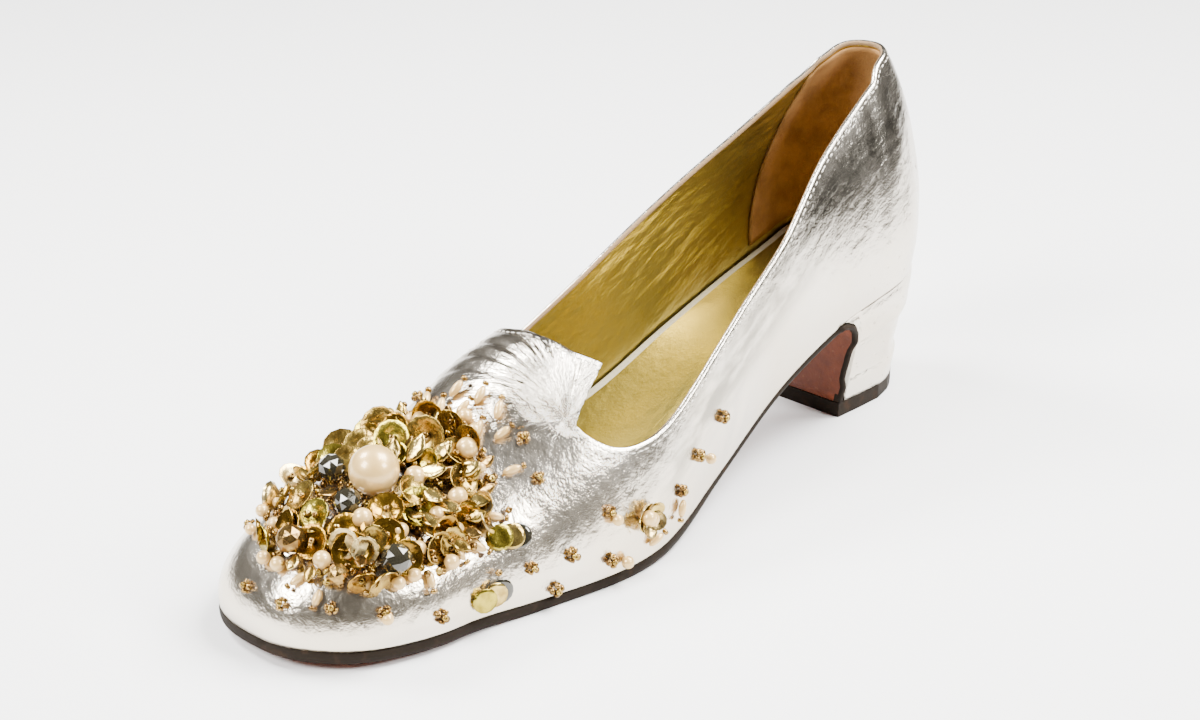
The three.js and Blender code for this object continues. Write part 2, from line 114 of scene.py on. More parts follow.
# The opening's edge. foot: where a column leaves the feather edge; the station and the height up
# the section where it ends, on the outer and the inner side.
COLLAR = [
    # foot, at_out, up_out, at_inn, up_inn
    (-80, -22.5, 0.76, -22.5, 0.73),
    (-68, -31, 0.745, -29, 0.72),
    (-54, -38, 0.63, -33, 0.62),
    (-38, -32, 0.47, -27, 0.48),
    (-20, -18, 0.43, -16, 0.45),
    (0, 0, 0.445, 0, 0.465),
    (20, 20, 0.47, 20, 0.485),
    (45, 45, 0.48, 45, 0.49),
    (70, 70, 0.53, 70, 0.53),
    (HEEL_CENTRE, HEEL_CENTRE, 0.61, HEEL_CENTRE, 0.61),
    (heel_turn(30), heel_turn(30), 0.65, heel_turn(30), 0.65),
    (heel_turn(60), heel_turn(60), 0.675, heel_turn(60), 0.675),
    (heel_turn(90), heel_turn(90), 0.675, heel_turn(90), 0.675),
]
TONGUE = [
    # foot, at_out, up_out, at_inn, up_inn
    (toe_turn(90), -26, 1, -26, 1),
    (-106, -25.5, 0.87, -25.5, 0.86),
    (-80, -22.5, 0.76, -22.5, 0.73),
]

# The heel's wall. down: from the seat (0) to the toplift (1); side and back: how far in from the seat
HEEL_TIERS = [
    # down, side, back
    (0, 0.5, 0.4),
    (0.1, -0.1, -0.3),
    (0.3, 0.6, 0.2),
    (0.42, 2.2, 1.2),
    (0.46, 2.9, 1.9),
    (0.76, 4.6, 2.9),
    (0.79, 4, 2.3),
    (1, 5.2, 2.5),
]

# The deep corner of the opening, where the tongue's creases meet, in the part's millimetres
NOTCH = (19, -39)

# Creases in the leather, from one place of the flattened plan to another; x from the heel's axis
CREASES = [
    # x0, y0, x1, y1, width, depth
    (3, -34, -3, -24, 0.9, 0.3),
    (2, -36, -9, -25, 1, 0.4),
    (2, -37, -15, -26, 1, 0.45),
    (1, -38, -21, -30, 1.1, 0.45),
    (1, -39, -24, -36, 1.1, 0.4),
    (0, -41, -22, -42, 1.1, 0.35),
    (2, -43, -14, -50, 1.2, 0.35),
    (4, -44, -4, -56, 1.2, 0.3),
    (17, -36, 27, -46, 2, 0.2),
    (-24, -34, -30, -50, 1.4, 0.35),
    (-26, -36, -20, -52, 1.3, 0.3),
    (16, -33, 27, -34, 1.5, 0.3),
    (15, 20, 24, 12, 2, 0.25),
    (10, 92, 20, 80, 2.4, 0.3),
    (14, 100, 21, 92, 2, 0.3),
    (8, 104, 17, 104, 2, 0.25),
    (-10, 92, -20, 82, 2.4, 0.3),
]
# How far from its middle a crease is looked for, its wavering line, how far it goes to each side and
# past its ends, over what share of its length it comes in and goes out, and the banks of its valley
CREASE_REACH = 20
CREASE_WAVER = 0.7
CREASE_WAVES = 5
CREASE_SIDE = 3
CREASE_END = 0.2
CREASE_IN = (-0.15, 0.3)
CREASE_OUT = (-0.15, 0.35)
BANK_HEIGHT = 0.5
BANK_PLACE = 1.3


def along(table, at, level=False):
    """A smooth curve through a table's rows, at a value of their first column.

    level: the curve is level at both ends."""
    last = len(table) - 1
    i = 1
    while i < last and at > table[i][0]:
        i += 1
    start, end = table[i - 1], table[i]
    if i > 1:
        before = table[i - 2]
    else:
        before = (2 * start[0] - end[0], *end[1:]) if level else start
    if i < last:
        after = table[i + 1]
    else:
        after = (2 * end[0] - start[0], *start[1:]) if level else end
    span = end[0] - start[0]
    f = (at - start[0]) / span
    rise, fall = f * (1 - f) ** 2, f * f * (1 - f)
    stay, come = (1 + 2 * f) * (1 - f) ** 2, f * f * (3 - 2 * f)
    over_in, over_out = span / (end[0] - before[0]), span / (after[0] - start[0])
    return [a * stay + b * come + (b - p) * over_in * rise - (n - a) * over_out * fall
            for p, a, b, n in zip(before, start, end, after)]


def clamp(value, low, high):
    return max(low, min(high, value))


def mix(a, b, f):
    return a + (b - a) * f


def smooth(value, low, high):
    f = clamp((value - low) / (high - low), 0, 1)
    return f * f * (3 - 2 * f)


def spine_at(y):
    return HEEL_AXIS + along(LAST, y, True)[1]


def section_at(station, side):
    """One side's section of the last at a station."""
    at = clamp(station, toe_turn(90), heel_turn(90))
    _, _, out, inn, z_out, z_inn, ridge, belly, lift, brow = along(LAST, at, True)
    y = clamp(at, TOE_CENTRE, HEEL_CENTRE)
    turn = (at - y) / (HEEL_ARC if at > y else TOE_ARC) * math.pi / 2
    centre = Vector((spine_at(y), y, 0))
    way = Vector((side * math.cos(turn), math.sin(turn), 0))
    width, foot = (out, z_out) if side > 0 else (inn, z_inn)
    return centre, way, width, foot, ridge, belly, lift, brow


def plan_point(station, side, up):
    """A point of the last's flattened plan: the feather edge at up = 0, the spine at up = 1."""
    centre, way, width = section_at(station, side)[:3]
    return centre + way * width * (1 - up)


def last_over(x, y):
    """The last's surface over a point of its flattened plan."""
    cy = clamp(y, TOE_CENTRE, HEEL_CENTRE)
    cx = spine_at(cy)
    side = -1 if x < cx else 1
    turn = math.atan2(y - cy, abs(x - cx)) / (math.pi / 2)
    section = section_at(cy + turn * (HEEL_ARC if turn > 0 else TOE_ARC), side)
    _, _, width, foot, ridge, belly, lift, brow = section
    reach = math.hypot(x - cx, y - cy)
    t = 1 - reach / width
    a, b, c = (1 - t) ** 3, 3 * (1 - t) ** 2 * t, 3 * (1 - t) * t * t
    r = a * width + b * (width + belly) + c * brow * width
    z = foot + (ridge - foot) * (b * lift + c + t ** 3)
    away = r / reach if reach > TINY else 0
    return Vector((cx + (x - cx) * away, cy + (y - cy) * away, z))


def outward_over(x, y):
    """The last's outward direction over a point of its flattened plan."""
    step = 0.05
    along_x = last_over(x + step, y) - last_over(x - step, y)
    along_y = last_over(x, y + step) - last_over(x, y - step)
    return along_x.cross(along_y).normalized()


def crease_at(x, y):
    """How far the creases move the leather out over a point of the flattened plan."""
    move = 0
    for x0, y0, x1, y1, width, depth in CREASES:
        x0, x1 = x0 + HEEL_AXIS, x1 + HEEL_AXIS
        if max(abs(x - (x0 + x1) / 2), abs(y - (y0 + y1) / 2)) > CREASE_REACH:
            continue
        dx, dy = x1 - x0, y1 - y0
        length = math.hypot(dx, dy)
        f = ((x - x0) * dx + (y - y0) * dy) / length ** 2
        waver = CREASE_WAVER * math.sin(f * CREASE_WAVES + x0)
        d = (((x - x0) * dy - (y - y0) * dx) / length + waver) / width
        if abs(d) < CREASE_SIDE and -CREASE_END < f < 1 + CREASE_END:
            fade = smooth(f, *CREASE_IN) * smooth(1 - f, *CREASE_OUT)
            banks = BANK_HEIGHT * math.exp(-(abs(d) - BANK_PLACE) ** 2 * 2)
            move += fade * depth * (banks - math.exp(-d * d))
    return move


def bed_edge(station, side, inset):
    """The bed's edge, set in from the feather edge."""
    centre, way, width, foot = section_at(station, side)[:4]
    there = section_at(station, -side)
    slope = (there[3] - foot) / (width + there[2])
    point = centre + way * (width - inset)
    return Vector((point.x, point.y, foot + slope * inset))


def bed_point(station, across, inset):
    inner, outer = bed_edge(station, -1, inset), bed_edge(station, 1, inset)
    return inner.lerp(outer, (across + 1) / 2)


def heel_wall(at, side, z):
    """The heel's wall at a height, from the tiers."""
    centre, way, width, foot = section_at(at, side)[:4]
    down = clamp((foot - GAP - z) / (foot - GAP - TOPLIFT), 0, 1)
    i = 1
    while i < len(HEEL_TIERS) - 1 and down > HEEL_TIERS[i][0]:
        i += 1
    start, end = HEEL_TIERS[i - 1], HEEL_TIERS[i]
    f = smooth(down, start[0], end[0])
    inward = mix(mix(start[1], end[1], f), mix(start[2], end[2], f), way.y ** 2)
    point = centre + way * (width - inward)
    return Vector((point.x, point.y, z))


def on_leather(x, y, height, way=0, lean=0):
    """A frame on the leather: x and y lie along it and z points out of it."""
    place = (HEEL_AXIS + x, y)
    outward = outward_over(*place)
    across = Vector((1, 0, 0))
    across = (across - outward * outward.x).normalized()
    basis = Matrix((across, outward.cross(across), outward)).transposed().to_4x4()
    spin = Matrix.Rotation(math.radians(way), 4, "Z")
    tip = Matrix.Rotation(math.radians(lean), 4, "Y")
    return Matrix.Translation(last_over(*place) + outward * height) @ basis @ spin @ tip


# A fan's streaks: how many there are to a radian, and how slowly they change along their length
FAN_STREAKS = 12
FAN_DRIFT = 0.05


class Value:
    """A shader socket that does maths as Python expressions."""

    def __init__(self, finish, socket):
        self.finish = finish
        self.socket = socket

    def _math(self, operation, *terms):
        terms = [t.socket if isinstance(t, Value) else t for t in terms]
        node = self.finish.node("ShaderNodeMath", dict(enumerate(terms)), operation=operation)
        return Value(self.finish, node.outputs[0])

    def __add__(self, other):
        return self._math("ADD", self, other)

    def __radd__(self, other):
        return self._math("ADD", other, self)

    def __sub__(self, other):
        return self._math("SUBTRACT", self, other)

    def __rsub__(self, other):
        return self._math("SUBTRACT", other, self)

    def __mul__(self, other):
        return self._math("MULTIPLY", self, other)

    def __rmul__(self, other):
        return self._math("MULTIPLY", other, self)

    def around(self, other):
        """The angle, in radians, of a place that is this far up and the other along."""
        return self._math("ARCTAN2", self, other)

    def apart(self, other):
        """The length of the long side of a right angle with these two short sides."""
        return self._math("SQRT", self * self + other * other)

    def over(self, low, high):
        """0 below low, 1 above high, smooth between."""
        node = self.finish.node(
            "ShaderNodeMapRange", {0: self, 1: low, 2: high}, interpolation_type="SMOOTHSTEP")
        return Value(self.finish, node.outputs[0])


class Finish:
    """A material's nodes: one method adds any node, and a few name the usual patterns."""

    def __init__(self, name, **constants):
        self.material = bpy.data.materials.new(name)
        self.material.use_nodes = True
        self.tree = self.material.node_tree
        self.shader = self.tree.nodes["Principled BSDF"]
        for socket, value in constants.items():
            self.shader.inputs[socket.replace("_", " ")].default_value = value

    def node(self, kind, sockets=None, stops=None, **settings):
        """A node with its settings, its ramp stops, and the values or links of its sockets."""
        node = self.tree.nodes.new(kind)
        for name, value in settings.items():
            setattr(node, name, value)
        if stops:
            ramp = node.color_ramp
            while len(ramp.elements) < len(stops):
                ramp.elements.new(1)
            for element, (position, colour) in zip(ramp.elements, stops):
                element.position = position
                element.color = (*colour, 1)
        for key, value in (sockets or {}).items():
            if isinstance(value, Value):
                value = value.socket
            if isinstance(value, bpy.types.NodeSocket):
                self.tree.links.new(value, node.inputs[key])
            else:
                node.inputs[key].default_value = value
        return node

    def coordinates(self, stretch=(1, 1, 1), turn=(0, 0, 0)):
        """The piece's own millimetres, turned and then drawn out along the turned axes."""
        place = self.node("ShaderNodeTexCoord").outputs["Object"]
        return self.node("ShaderNodeMapping", {
            "Vector": place, "Scale": tuple(MM * s for s in stretch), "Rotation": turn},
            vector_type="TEXTURE").outputs[0]

    def noise(self, size, detail=3, stretch=(1, 1, 1), turn=(0, 0, 0), place=None):
        """Noise whose lumps are about this many millimetres."""
        node = self.node("ShaderNodeTexNoise", {
            "Vector": place or self.coordinates(stretch, turn), "Scale": 1 / size,
            "Detail": detail})
        return Value(self, node.outputs[0])

    def axis(self, number):
        """Millimetres along an axis: 0 across, 1 along (the toe at -122), 2 up."""
        place = self.node("ShaderNodeTexCoord").outputs["Object"]
        return Value(self, self.node("ShaderNodeSeparateXYZ", {0: place}).outputs[number]) * (1 / MM)

    def fan(self, x, y, size):
        """Streaks that spread from a place of the shoe, seen from above."""
        across, along_shoe = self.axis(0) - x, self.axis(1) - y
        angle = along_shoe.around(across) * FAN_STREAKS
        reach = across.apart(along_shoe) * FAN_DRIFT
        place = self.node("ShaderNodeCombineXYZ", {0: angle, 1: reach}).outputs[0]
        return self.noise(size, 4, place=place)

    def blend(self, factor, first, second):
        """A colour between two colours or sockets."""
        node = self.node("ShaderNodeMix", {0: factor, 6: first, 7: second}, data_type="RGBA")
        return node.outputs[2]

    def paint(self, **sockets):
        """Links to the shader's sockets."""
        for name, value in sockets.items():
            value = value.socket if isinstance(value, Value) else value
            self.tree.links.new(value, self.shader.inputs[name.replace("_", " ")])

    def relief(self, height, depth):
        """Bump from a height of 0 to 1, as deep as this in millimetres."""
        bump = self.node("ShaderNodeBump", {"Height": height, "Strength": 1, "Distance": depth * MM})
        self.paint(Normal=bump.outputs[0])


def rgb(red, green, blue):
    return (red, green, blue, 1)


# What wear, darker tones and a painted dark reflection make of the finishes' colours
RUBBED_SILVER = rgb(0.30, 0.27, 0.20)
# Grey of the painted dark reflection on the silver's sides
PAINTED_DARK_REFLECTION = rgb(0.22, 0.205, 0.17)
WORN_GOLD = rgb(0.30, 0.22, 0.06)
SOLE_STREAK = rgb(0.07, 0.018, 0.007)
SOLE_SCRATCH = rgb(0.30, 0.15, 0.08)
WORN_INK = rgb(0.05, 0.03, 0.02)
SUEDE_SHADE = rgb(0.22, 0.11, 0.035)


def tint(name, description, default):
    """A colour that a user may change."""
    return bpy.props.FloatVectorProperty(
        name=name, description=description, subtype="COLOR", size=3, min=0, max=1, default=default)


class PumpColours(bpy.types.PropertyGroup):
    """The finishes' main colours"""
    silver: tint("Silver", "Foil of the upper and the heel", (0.72, 0.66, 0.565))
    champagne: tint("Champagne", "Foil where it has yellowed", (0.70, 0.61, 0.47))
    gold: tint("Gold", "Foil of the lining and the sock", (0.45, 0.36, 0.085))
    sole: tint("Sole leather", "Polished leather of the outsole", (0.13, 0.030, 0.010))
    ink: tint("Edge ink", "Black of the outsole's edge and the toplift", (0.014, 0.010, 0.007))
    suede: tint("Suede", "Heel grip inside the back", (0.42, 0.22, 0.08))


class PumpSizes(bpy.types.PropertyGroup):
    """Sizes, counts and the seed"""
    columns: bpy.props.IntProperty(
        name="Columns", description="Columns of each side of the upper's mesh", default=150, min=20)
    rows: bpy.props.IntProperty(
        name="Rows", description="Rows of the upper's outer face", default=100, min=8)
    stitch: bpy.props.FloatProperty(
        name="Stitch", description="Length from one stitch to the next", default=2.2 * MM,
        min=MM, unit="LENGTH")
    seam: bpy.props.FloatProperty(
        name="Seam", description="From the topline down to its stitches", default=2 * MM, min=0,
        unit="LENGTH")
    crease: bpy.props.FloatProperty(
        name="Creases", description="Strength of the modelled creases", default=1, min=0, max=2,
        subtype="FACTOR")
    rim: bpy.props.FloatProperty(
        name="Inked rim", description="Width of the black rim of the heel's front",
        default=1.4 * MM, min=0, unit="LENGTH")
    lens: bpy.props.FloatProperty(
        name="Lens", description="Focal length of the studio's camera", default=74, min=20,
        unit="CAMERA")
    seed: bpy.props.IntProperty(
        name="Seed", description="Seed of the small beads' places", default=7)


def colour(name):
    return rgb(*getattr(bpy.context.scene.pump_colours, name))


# Height of the topline along the shoe's sides, as a line over the stations; the painted dark
# reflection lies below it
TOPLINE_START = 45
TOPLINE_RISE = 0.53
# The turn that lays wrinkles, and the mottle of the painted dark reflection, along the rising topline
TOPLINE_TURN = (0.42, 0, 0)


def silver_leather():
    """Silver foil leather: fine grain, fanned and drawn wrinkles, yellowed and rubbed places, a
    painted dark reflection.
    """
    finish = Finish("silver_leather", Metallic=1.0)
    height, station, across = finish.axis(2), finish.axis(1), finish.axis(0)
    yellowed = finish.noise(30, 2).over(0.35, 0.7) * height.over(70, 20)
    base = finish.blend(yellowed * 0.8, colour("silver"), colour("champagne"))
    rubbed = finish.noise(2.5, 5).over(0.60, 0.75) * station.over(50, 105)
    base = finish.blend(rubbed * 0.7, base, RUBBED_SILVER)
    grain = finish.noise(0.7, 3)
    mottle = finish.noise(2.6, 4)
    # Painted dark reflection: a mottled grey band from a few to about 24 mm below the topline, from
    # station -40 back
    below_topline = TOPLINE_RISE * station + TOPLINE_START - height
    painted_reflection_band = below_topline.over(1, 7) * below_topline.over(24, 11) * station.over(-40, -5)
    painted_reflection_band = painted_reflection_band * finish.noise(5, 5, (1, 3, 1), TOPLINE_TURN).over(0.3, 0.62)
    base = finish.blend(painted_reflection_band * 0.85, base, PAINTED_DARK_REFLECTION)
    drawn = finish.noise(2.2, 4, (1, 9, 1), TOPLINE_TURN) * station.over(-10, 60)
    near_notch = (across - NOTCH[0]).apart(station - NOTCH[1]).over(36, 14) * height.over(38, 44)
    fanned = finish.fan(*NOTCH, 0.8) * near_notch
    flexed = finish.noise(2.4, 4, (1, 4, 1), (0, 0, 0.9)) * finish.noise(24, 1).over(0.45, 0.6)
    finish.paint(
        Base_Color=base,
        Roughness=0.13 + mottle * 0.1 + finish.noise(20, 2) * 0.08 + rubbed * 0.2)
    finish.relief(
        finish.noise(16, 2) * 0.35 + mottle * 0.16 + grain * 0.06 + drawn * 0.16 + fanned * 1.3
        + flexed * 0.2, 1.0)
    return finish.material


def gold_leather(name, wrinkled, painted_shade):
    """Gold foil leather of the lining and the sock; a painted_shade below 1 darkens the gold as
    painted shadow.
    """
    finish = Finish(name, Metallic=0.92)
    gold = rgb(*(part * painted_shade for part in bpy.context.scene.pump_colours.gold))
    worn = finish.noise(18, 3).over(0.45, 0.7) * finish.axis(1).over(20, 90)
    base = finish.blend(worn * 0.5, gold, WORN_GOLD)
    streaks = finish.noise(3, 4, (1, 4, 1), (0.4, 0, 0.1))
    folds = finish.noise(9, 2, (1, 3, 1), (0.5, 0, 0))
    finish.paint(Base_Color=base, Roughness=0.24 + finish.noise(4, 4) * 0.16)
    finish.relief(
        (streaks * 0.7 + folds * 0.9) * wrinkled + finish.noise(0.8, 3) * 0.05
        + finish.noise(2.5, 3) * 0.08, 1.0)
    return finish.material


def sole_leather():
    finish = Finish("sole_leather", Specular_IOR_Level=0.3)
    streaks = finish.noise(2.5, 4, (1, 8, 1))
    base = finish.blend(streaks.over(0.3, 0.8) * 0.6, colour("sole"), SOLE_STREAK)
    scratches = finish.noise(1.1, 3, (1, 12, 1), (0, 0, 0.2)).over(0.62, 0.72)
    base = finish.blend(scratches * 0.15, base, SOLE_SCRATCH)
    finish.paint(Base_Color=base, Roughness=0.3 + streaks * 0.2)
    finish.relief(finish.noise(0.7, 3) * 0.3, 0.3)
    return finish.material


def edge_ink():
    finish = Finish("edge_ink", Specular_IOR_Level=0.05)
    worn = finish.noise(5, 4).over(0.55, 0.75)
    finish.paint(
        Base_Color=finish.blend(worn * 0.5, colour("ink"), WORN_INK),
        Roughness=0.55 + worn * 0.3)
    finish.relief(finish.noise(1.2, 3) * 0.4, 0.2)
    return finish.material


def one_grain(name, size, detail, dark, light, depth=0, **constants):
    """A finish of a single grain, in its colour and, where it has a depth, in its relief."""
    finish = Finish(name, **constants)
    grain = finish.noise(size, detail)
    finish.paint(Base_Color=finish.blend(grain, dark, light))
    if depth:
        finish.relief(grain, depth)
    return finish.material


def raw_edge():
    return one_grain("raw_edge", 0.6, 4, rgb(0.16, 0.09, 0.04), rgb(0.34, 0.22, 0.11), 0.25,
                     Roughness=0.85)


def sock_rim():
    return one_grain("sock_rim", 0.9, 3, rgb(0.40, 0.36, 0.26), rgb(0.55, 0.50, 0.38), 0.15,
                     Roughness=0.6, Metallic=0.3)


def thread():
    return one_grain("thread", 1, 2, rgb(0.62, 0.58, 0.50), rgb(0.80, 0.77, 0.70),
                     Roughness=0.5, Metallic=0.4)


def suede():
    finish = Finish("suede", Roughness=0.95, Specular_IOR_Level=0.1)
    nap = finish.noise(0.5, 3)
    shaded = finish.noise(9, 3).over(0.35, 0.7) * 0.6 + nap * 0.3
    finish.paint(Base_Color=finish.blend(shaded, colour("suede"), SUEDE_SHADE))
    finish.relief(nap, 0.2)
    return finish.material


def pearl():
    """Cream coating over a round bead."""
    finish = Finish("pearl", Metallic=0.25, Coat_Weight=0.7, Coat_Roughness=0.06)
    cloud = finish.noise(4, 2)
    finish.paint(
        Base_Color=finish.blend(cloud, rgb(0.64, 0.385, 0.105), rgb(0.72, 0.49, 0.19)),
        Roughness=0.3 + finish.noise(1.5, 2) * 0.1)
    return finish.material


def foil(name, light, dark, rough):
    """Metallic foil of discs and cups, lighter and darker from one to the next."""
    finish = Finish(name, Metallic=0.95)
    drift = finish.noise(3.5, 2)
    finish.paint(
        Base_Color=finish.blend(drift.over(0.35, 0.65), light, dark),
        Roughness=rough + finish.noise(1.2, 2) * 0.12)
    finish.relief(finish.noise(1.6, 2) * 0.6, 0.25)
    return finish.material


def dark_glass():
    """Dark cut glass with a little foil behind it."""
    finish = Finish("dark_glass", Roughness=0.06, Coat_Weight=1.0, Metallic=0.5)
    finish.paint(Base_Color=finish.blend(
        finish.noise(2, 2), rgb(0.045, 0.04, 0.025), rgb(0.0225, 0.02, 0.0125)))
    return finish.material


def place_mesh(name, bm, materials, replaces=()):
    """Makes a piece from a bmesh in millimetres; replaces: the source's nodes it stands for."""
    bmesh.ops.scale(bm, vec=(MM, MM, MM), verts=bm.verts)
    mesh = bpy.data.meshes.new(name)
    bm.to_mesh(mesh)
    bm.free()
    for material in materials:
        mesh.materials.append(material)
    piece = bpy.data.objects.new(name, mesh)
    bpy.context.scene.collection.objects.link(piece)
    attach(piece, "root")
    if replaces:
        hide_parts(*replaces)


# Verts closer than this are one, and faces thinner than this are dropped
MERGE = 1e-4
DEGENERATE = 1e-5


def loft(rings, ring_materials, hoop=False):
    """A closed skin over rings of points, each of which closes on itself.

    In a hoop the last ring joins the first; otherwise both end rings are filled. ring_materials
    has a material's index for each strip round a ring."""
    count = len(rings[0])
    rows = len(rings) + (1 if hoop else 0)
    bm = bmesh.new()
    bmesh.ops.create_grid(bm, x_segments=count, y_segments=rows - 1, size=1)
    bm.verts.ensure_lookup_table()
    order = sorted(bm.verts, key=lambda v: (round(v.co.y, 6), v.co.x))
    number = {vert: divmod(place, count + 1) for place, vert in enumerate(order)}
    for face in bm.faces:
        face.material_index = ring_materials[min(number[vert][1] for vert in face.verts)]
        face.smooth = True
    for vert, (j, i) in number.items():
        vert.co = rings[j % len(rings)][i % count]
    bmesh.ops.remove_doubles(bm, verts=bm.verts, dist=MERGE)
    bmesh.ops.dissolve_degenerate(bm, dist=DEGENERATE, edges=bm.edges)
    if not hoop:
        ends = [edge for edge in bm.edges if edge.is_boundary]
        bmesh.ops.holes_fill(bm, edges=ends, sides=0)
    bmesh.ops.recalc_face_normals(bm, faces=bm.faces)
    return bm


# The collar's share of the upper's columns; the tongue has the others
COLLAR_SHARE = 0.72


def opening_columns(side, count):
    """Columns of the upper from the back seam round the notch to the tongue's middle."""
    corner = COLLAR[0][0]
    collar = round(count * COLLAR_SHARE)
    tongue = count - collar
    places = [(COLLAR, mix(heel_turn(90), corner, j / collar)) for j in range(collar)]
    places += [(TONGUE, mix(corner, toe_turn(90), j / tongue)) for j in range(tongue + 1)]
    columns = []
    for table, foot in places:
        _, at_out, up_out, at_inn, up_inn = along(table, foot)
        columns.append((side, foot, at_out, up_out) if side > 0 else (side, foot, at_inn, up_inn))
    return columns


def column_line(column):
    """A column's start and end on the flattened plan, and how far apart they are on the last."""
    side, foot, at, up = column
    start, end = plan_point(foot, side, 0), plan_point(at, side, up)
    return start, end, (last_over(*end.xy) - last_over(*start.xy)).length


SILVER, RAW, GILT = range(3)
# Steps over the folded edge, those of them that are silver, and rows of the lining
EDGE_STEPS = 6
SILVER_STEPS = 3
LINING_ROWS = 26
# The share of a column, above the feather edge, over which the creases come in
CREASE_START = 0.1


def leather_ring(column, rows, crease):
    """One column of the upper: up the outer face, over the folded edge and down the lining."""
    start, end, length = column_line(column)
    top = 1 - WALL / 2 / length

    def skin(f, inward):
        plan = start.lerp(end, f)
        outward = outward_over(*plan.xy)
        fade = smooth(f, 0, CREASE_START) * crease
        lift = crease_at(*plan.xy) * fade if inward == 0 else 0
        return last_over(*plan.xy) + outward * (lift - inward), outward

    face = [skin(top * i / rows, 0)[0] for i in range(rows + 1)]
    last, outward = skin(top, 0)
    forward = (skin(1, 0)[0] - last).normalized()
    middle = last - outward * WALL / 2
    fold = []
    for i in range(1, EDGE_STEPS):
        turn = math.pi * i / EDGE_STEPS
        fold.append(middle + (outward * math.cos(turn) + forward * math.sin(turn)) * WALL / 2)
    lining = [skin(top * (1 - i / LINING_ROWS), WALL)[0] for i in range(LINING_ROWS)]
    side, foot = column[:2]
    lining.append(bed_edge(foot, side, WALL))
    return face + fold + lining


class PUMP_OT_upper(bpy.types.Operator):
    """Make the upper: silver face, folded edge and gold lining in one skin"""
    bl_idname = "pump.upper"
    bl_label = "Upper"

    def execute(self, context):
        sizes = context.scene.pump_sizes
        outer = opening_columns(1, sizes.columns)
        inner = opening_columns(-1, sizes.columns)[1:-1]
        columns = outer + inner[::-1]
        rings = [leather_ring(column, sizes.rows, sizes.crease) for column in columns]
        strips = ([SILVER] * (sizes.rows + SILVER_STEPS) + [RAW] * (EDGE_STEPS - SILVER_STEPS)
                  + [GILT] * (LINING_ROWS + 1))
        bm = loft(rings, strips, hoop=True)
        materials = [silver_leather(), raw_edge(), gold_leather("gold_lining", wrinkled=0.75, painted_shade=1)]
        place_mesh("upper_leather", bm, materials, ["upper"])
        return {"FINISHED"}


# A stitch: its half length as a share of the step, its half width, half height and rise
STITCH_LENGTH = 0.38
STITCH_WIDTH = 0.22
STITCH_HEIGHT = 0.13
STITCH_RISE = 0.05


class PUMP_OT_stitches(bpy.types.Operator):
    """Sew the row of stitches below the topline and along the tongue"""
    bl_idname = "pump.stitches"
    bl_label = "Stitches"

    def execute(self, context):
        sizes = context.scene.pump_sizes
        seam, step = sizes.seam / MM, sizes.stitch / MM
        shape = Matrix.Diagonal((step * STITCH_LENGTH, STITCH_WIDTH, STITCH_HEIGHT, 1))
        bm = bmesh.new()
        for side in (1, -1):
            path = []
            for column in opening_columns(side, sizes.columns * 2):
                start, end, length = column_line(column)
                plan = start.lerp(end, 1 - seam / length)
                lift = crease_at(*plan.xy) * sizes.crease + STITCH_RISE
                outward = outward_over(*plan.xy)
                path.append((last_over(*plan.xy) + outward * lift, outward))
            walked = 0
            for (here, outward), (there, _) in zip(path, path[1:]):
                walked += (there - here).length
                if walked < step:
                    continue
                walked -= step
                run = (there - here).normalized()
                turn = Matrix((run, outward.cross(run), outward)).transposed().to_4x4()
                bmesh.ops.create_icosphere(
                    bm, subdivisions=1, radius=1, matrix=Matrix.Translation(here) @ turn @ shape)
        for face in bm.faces:
            face.smooth = True
        place_mesh("topline_stitches", bm, [thread()])
        return {"FINISHED"}


# Steps round the outsole's bend, and rows from there down to the toplift
BEND_STEPS = 18
FLAP_ROWS = 8


def flap_path():
    """Side view of the outsole's bend down the heel's front: y, z and the way its thickness goes."""
    flap_start = BREAST + FLAP - BREAST_BEND * (1 + math.sin(WAIST_SLOPE))
    start = bed_point(flap_start, 0, 0)
    middle_y = start.y + BREAST_BEND * math.sin(WAIST_SLOPE)
    middle_z = start.z - GAP - BREAST_BEND * math.cos(WAIST_SLOPE)
    path = []
    for i in range(1, BEND_STEPS + 1):
        angle = mix(WAIST_SLOPE, -math.pi / 2, i / BEND_STEPS)
        down = (math.sin(angle), -math.cos(angle))
        path.append((middle_y - BREAST_BEND * down[0], middle_z - BREAST_BEND * down[1], down))
    y, z, down = path[-1]
    for i in range(1, FLAP_ROWS + 1):
        path.append((y, mix(z, TOPLIFT + GAP, i / FLAP_ROWS), down))
    return flap_start, path


# Places across a bottom piece from -1 to 1, closer together at the ends
ACROSS_STEPS = 20
ACROSS = [math.sin(math.pi / 2 * (2 * i / ACROSS_STEPS - 1)) for i in range(ACROSS_STEPS + 1)]
# Places down the outsole's edge, and how far the edge swells out
EDGE_PLACES = (0.2, 0.5, 0.8)
EDGE_SWELL = 0.5
# A bottom piece's main leather and its edge
FIELD, EDGE = range(2)


def sole_ring(points, down, thick):
    """A section of the outsole with a rounded, inked edge."""
    top = [point + down * GAP for point in points]
    bottom = [point + down * (GAP + thick) for point in points]
    outwards = (top[0] - top[-1]).normalized()
    first, last = [], []
    for f in EDGE_PLACES:
        swell = outwards * (math.sin(math.pi * f) * EDGE_SWELL)
        last.append(top[-1].lerp(bottom[-1], f) - swell)
        first.append(top[0].lerp(bottom[0], f) + swell)
    ring = top + last + bottom[::-1] + first[::-1]
    return [Vector((p.x, p.y, max(p.z, 0))) for p in ring]


# Turns at which the outsole and the heel, and the sock, stop short of the last's two ends
END_TURN = 88
SOCK_TURN = 86
# Rows of the outsole round the toe and from there to its bend
TOE_ROWS = 30
SOLE_ROWS = 60
# How far in from the feather edge the outsole lies, at the forepart and at the waist
SOLE_INSET = (0.2, 0.6)
# Where the outsole begins to narrow and to thin, and where the waist is reached
NARROWS = -30
THINS = -20
WAIST = 20


